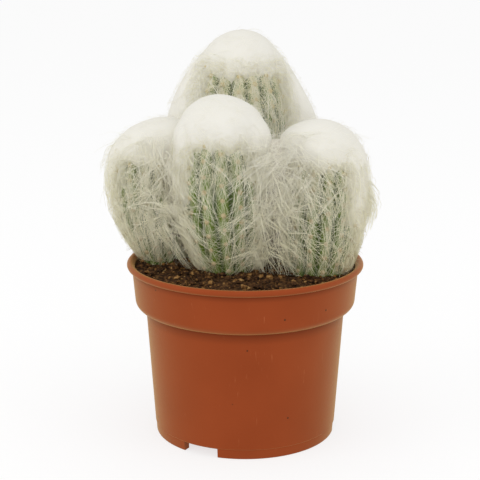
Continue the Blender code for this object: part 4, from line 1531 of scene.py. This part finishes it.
# The models and the smooth hulls were only needed to grow things on, so they go
for model in (pad, spines, lump, small, *hulls.values()):
    bpy.data.objects.remove(model)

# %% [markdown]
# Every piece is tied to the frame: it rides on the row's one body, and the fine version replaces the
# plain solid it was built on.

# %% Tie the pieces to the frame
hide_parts("pot")
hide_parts("soil")
for s in STEMS:
    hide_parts(f"stem_{s.name}")
    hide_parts(f"wool_{s.name}")
for piece in [pot, soil, *ground, *bodies.values(), *cores.values(), *pieces]:
    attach(piece, "root")
print("pieces tied:", 2 + len(ground) + len(bodies) + len(cores) + len(pieces))

# %% [markdown]
# The photograph is a product shot: white all round, soft light from above, from the front and from
# both sides, and a long lens that looks slightly down. The floor glows a little so that it stays
# white to the horizon.

# %% Floor, light and camera
CAMERA_FAR = 658.3 * MM
CAMERA_HIGH = 264.6 * MM
CAMERA_DOWN_DEG = 14.05
CAMERA_YAW_DEG = 0.227
LENS = 100.35

shape = bmesh.new()
bmesh.ops.create_grid(shape, x_segments=4, y_segments=4, size=15.0)
floor = built("floor", shape)
paper, tree, shader, place = new_material("white paper", 0.9)
shader.inputs["Base Color"].default_value = (0.3, 0.3, 0.3, 1.0)
shader.inputs["Specular IOR Level"].default_value = 0.0
shader.inputs["Emission Color"].default_value = (1.0, 1.0, 1.0, 1.0)
seen = add(tree, "ShaderNodeLightPath").outputs["Is Camera Ray"]
glow = between(tree, seen, 0.0, 1.0, 0.42, 0.72)
tree.links.new(glow, shader.inputs["Emission Strength"])
floor.data.materials.append(paper)

world = bpy.data.worlds.new("studio")
bpy.context.scene.world = world
world.use_nodes = True
world.node_tree.nodes["Background"].inputs["Color"].default_value = (1.0, 1.0, 1.0, 1.0)
world.node_tree.nodes["Background"].inputs["Strength"].default_value = 0.8


def softbox(name, place, size, power):
    """A square light that faces the plant."""
    light = bpy.data.lights.new(name, "AREA")
    light.shape = "SQUARE"
    light.size = size
    light.energy = power
    made = bpy.data.objects.new(name, light)
    bpy.context.scene.collection.objects.link(made)
    made.location = POT_AXIS + Vector(place)
    aim = POT_AXIS + Vector((0, 0, 0.12)) - made.location
    made.rotation_euler = aim.to_track_quat("-Z", "Y").to_euler()


softbox("top", (0.1, -0.35, 1.3), 1.0, 0.8)
softbox("left", (-1.2, -0.5, 0.6), 0.8, 2.9)
softbox("right", (1.2, -0.5, 0.6), 0.8, 1.7)
softbox("front", (0.0, -1.3, 0.5), 0.8, 2.2)

camera = bpy.data.objects.new("camera", bpy.data.cameras.new("camera"))
bpy.context.scene.collection.objects.link(camera)
camera.data.lens = LENS
camera.data.sensor_width = 36
camera.location = POT_AXIS + Vector((0.0, -CAMERA_FAR, CAMERA_HIGH))
camera.rotation_euler = (math.radians(90 - CAMERA_DOWN_DEG), 0.0, math.radians(CAMERA_YAW_DEG))
bpy.context.scene.camera = camera
bpy.context.scene.view_settings.view_transform = "Standard"
print("camera at", [round(c / MM) for c in camera.location], "mm")

# %% Sizes
meshes = [o.data for o in bpy.data.objects if o.type == "MESH" and not o.hide_render]
for mesh in meshes:
    mesh.calc_loop_triangles()
print("triangles in all:", sum(len(mesh.loop_triangles) for mesh in meshes))
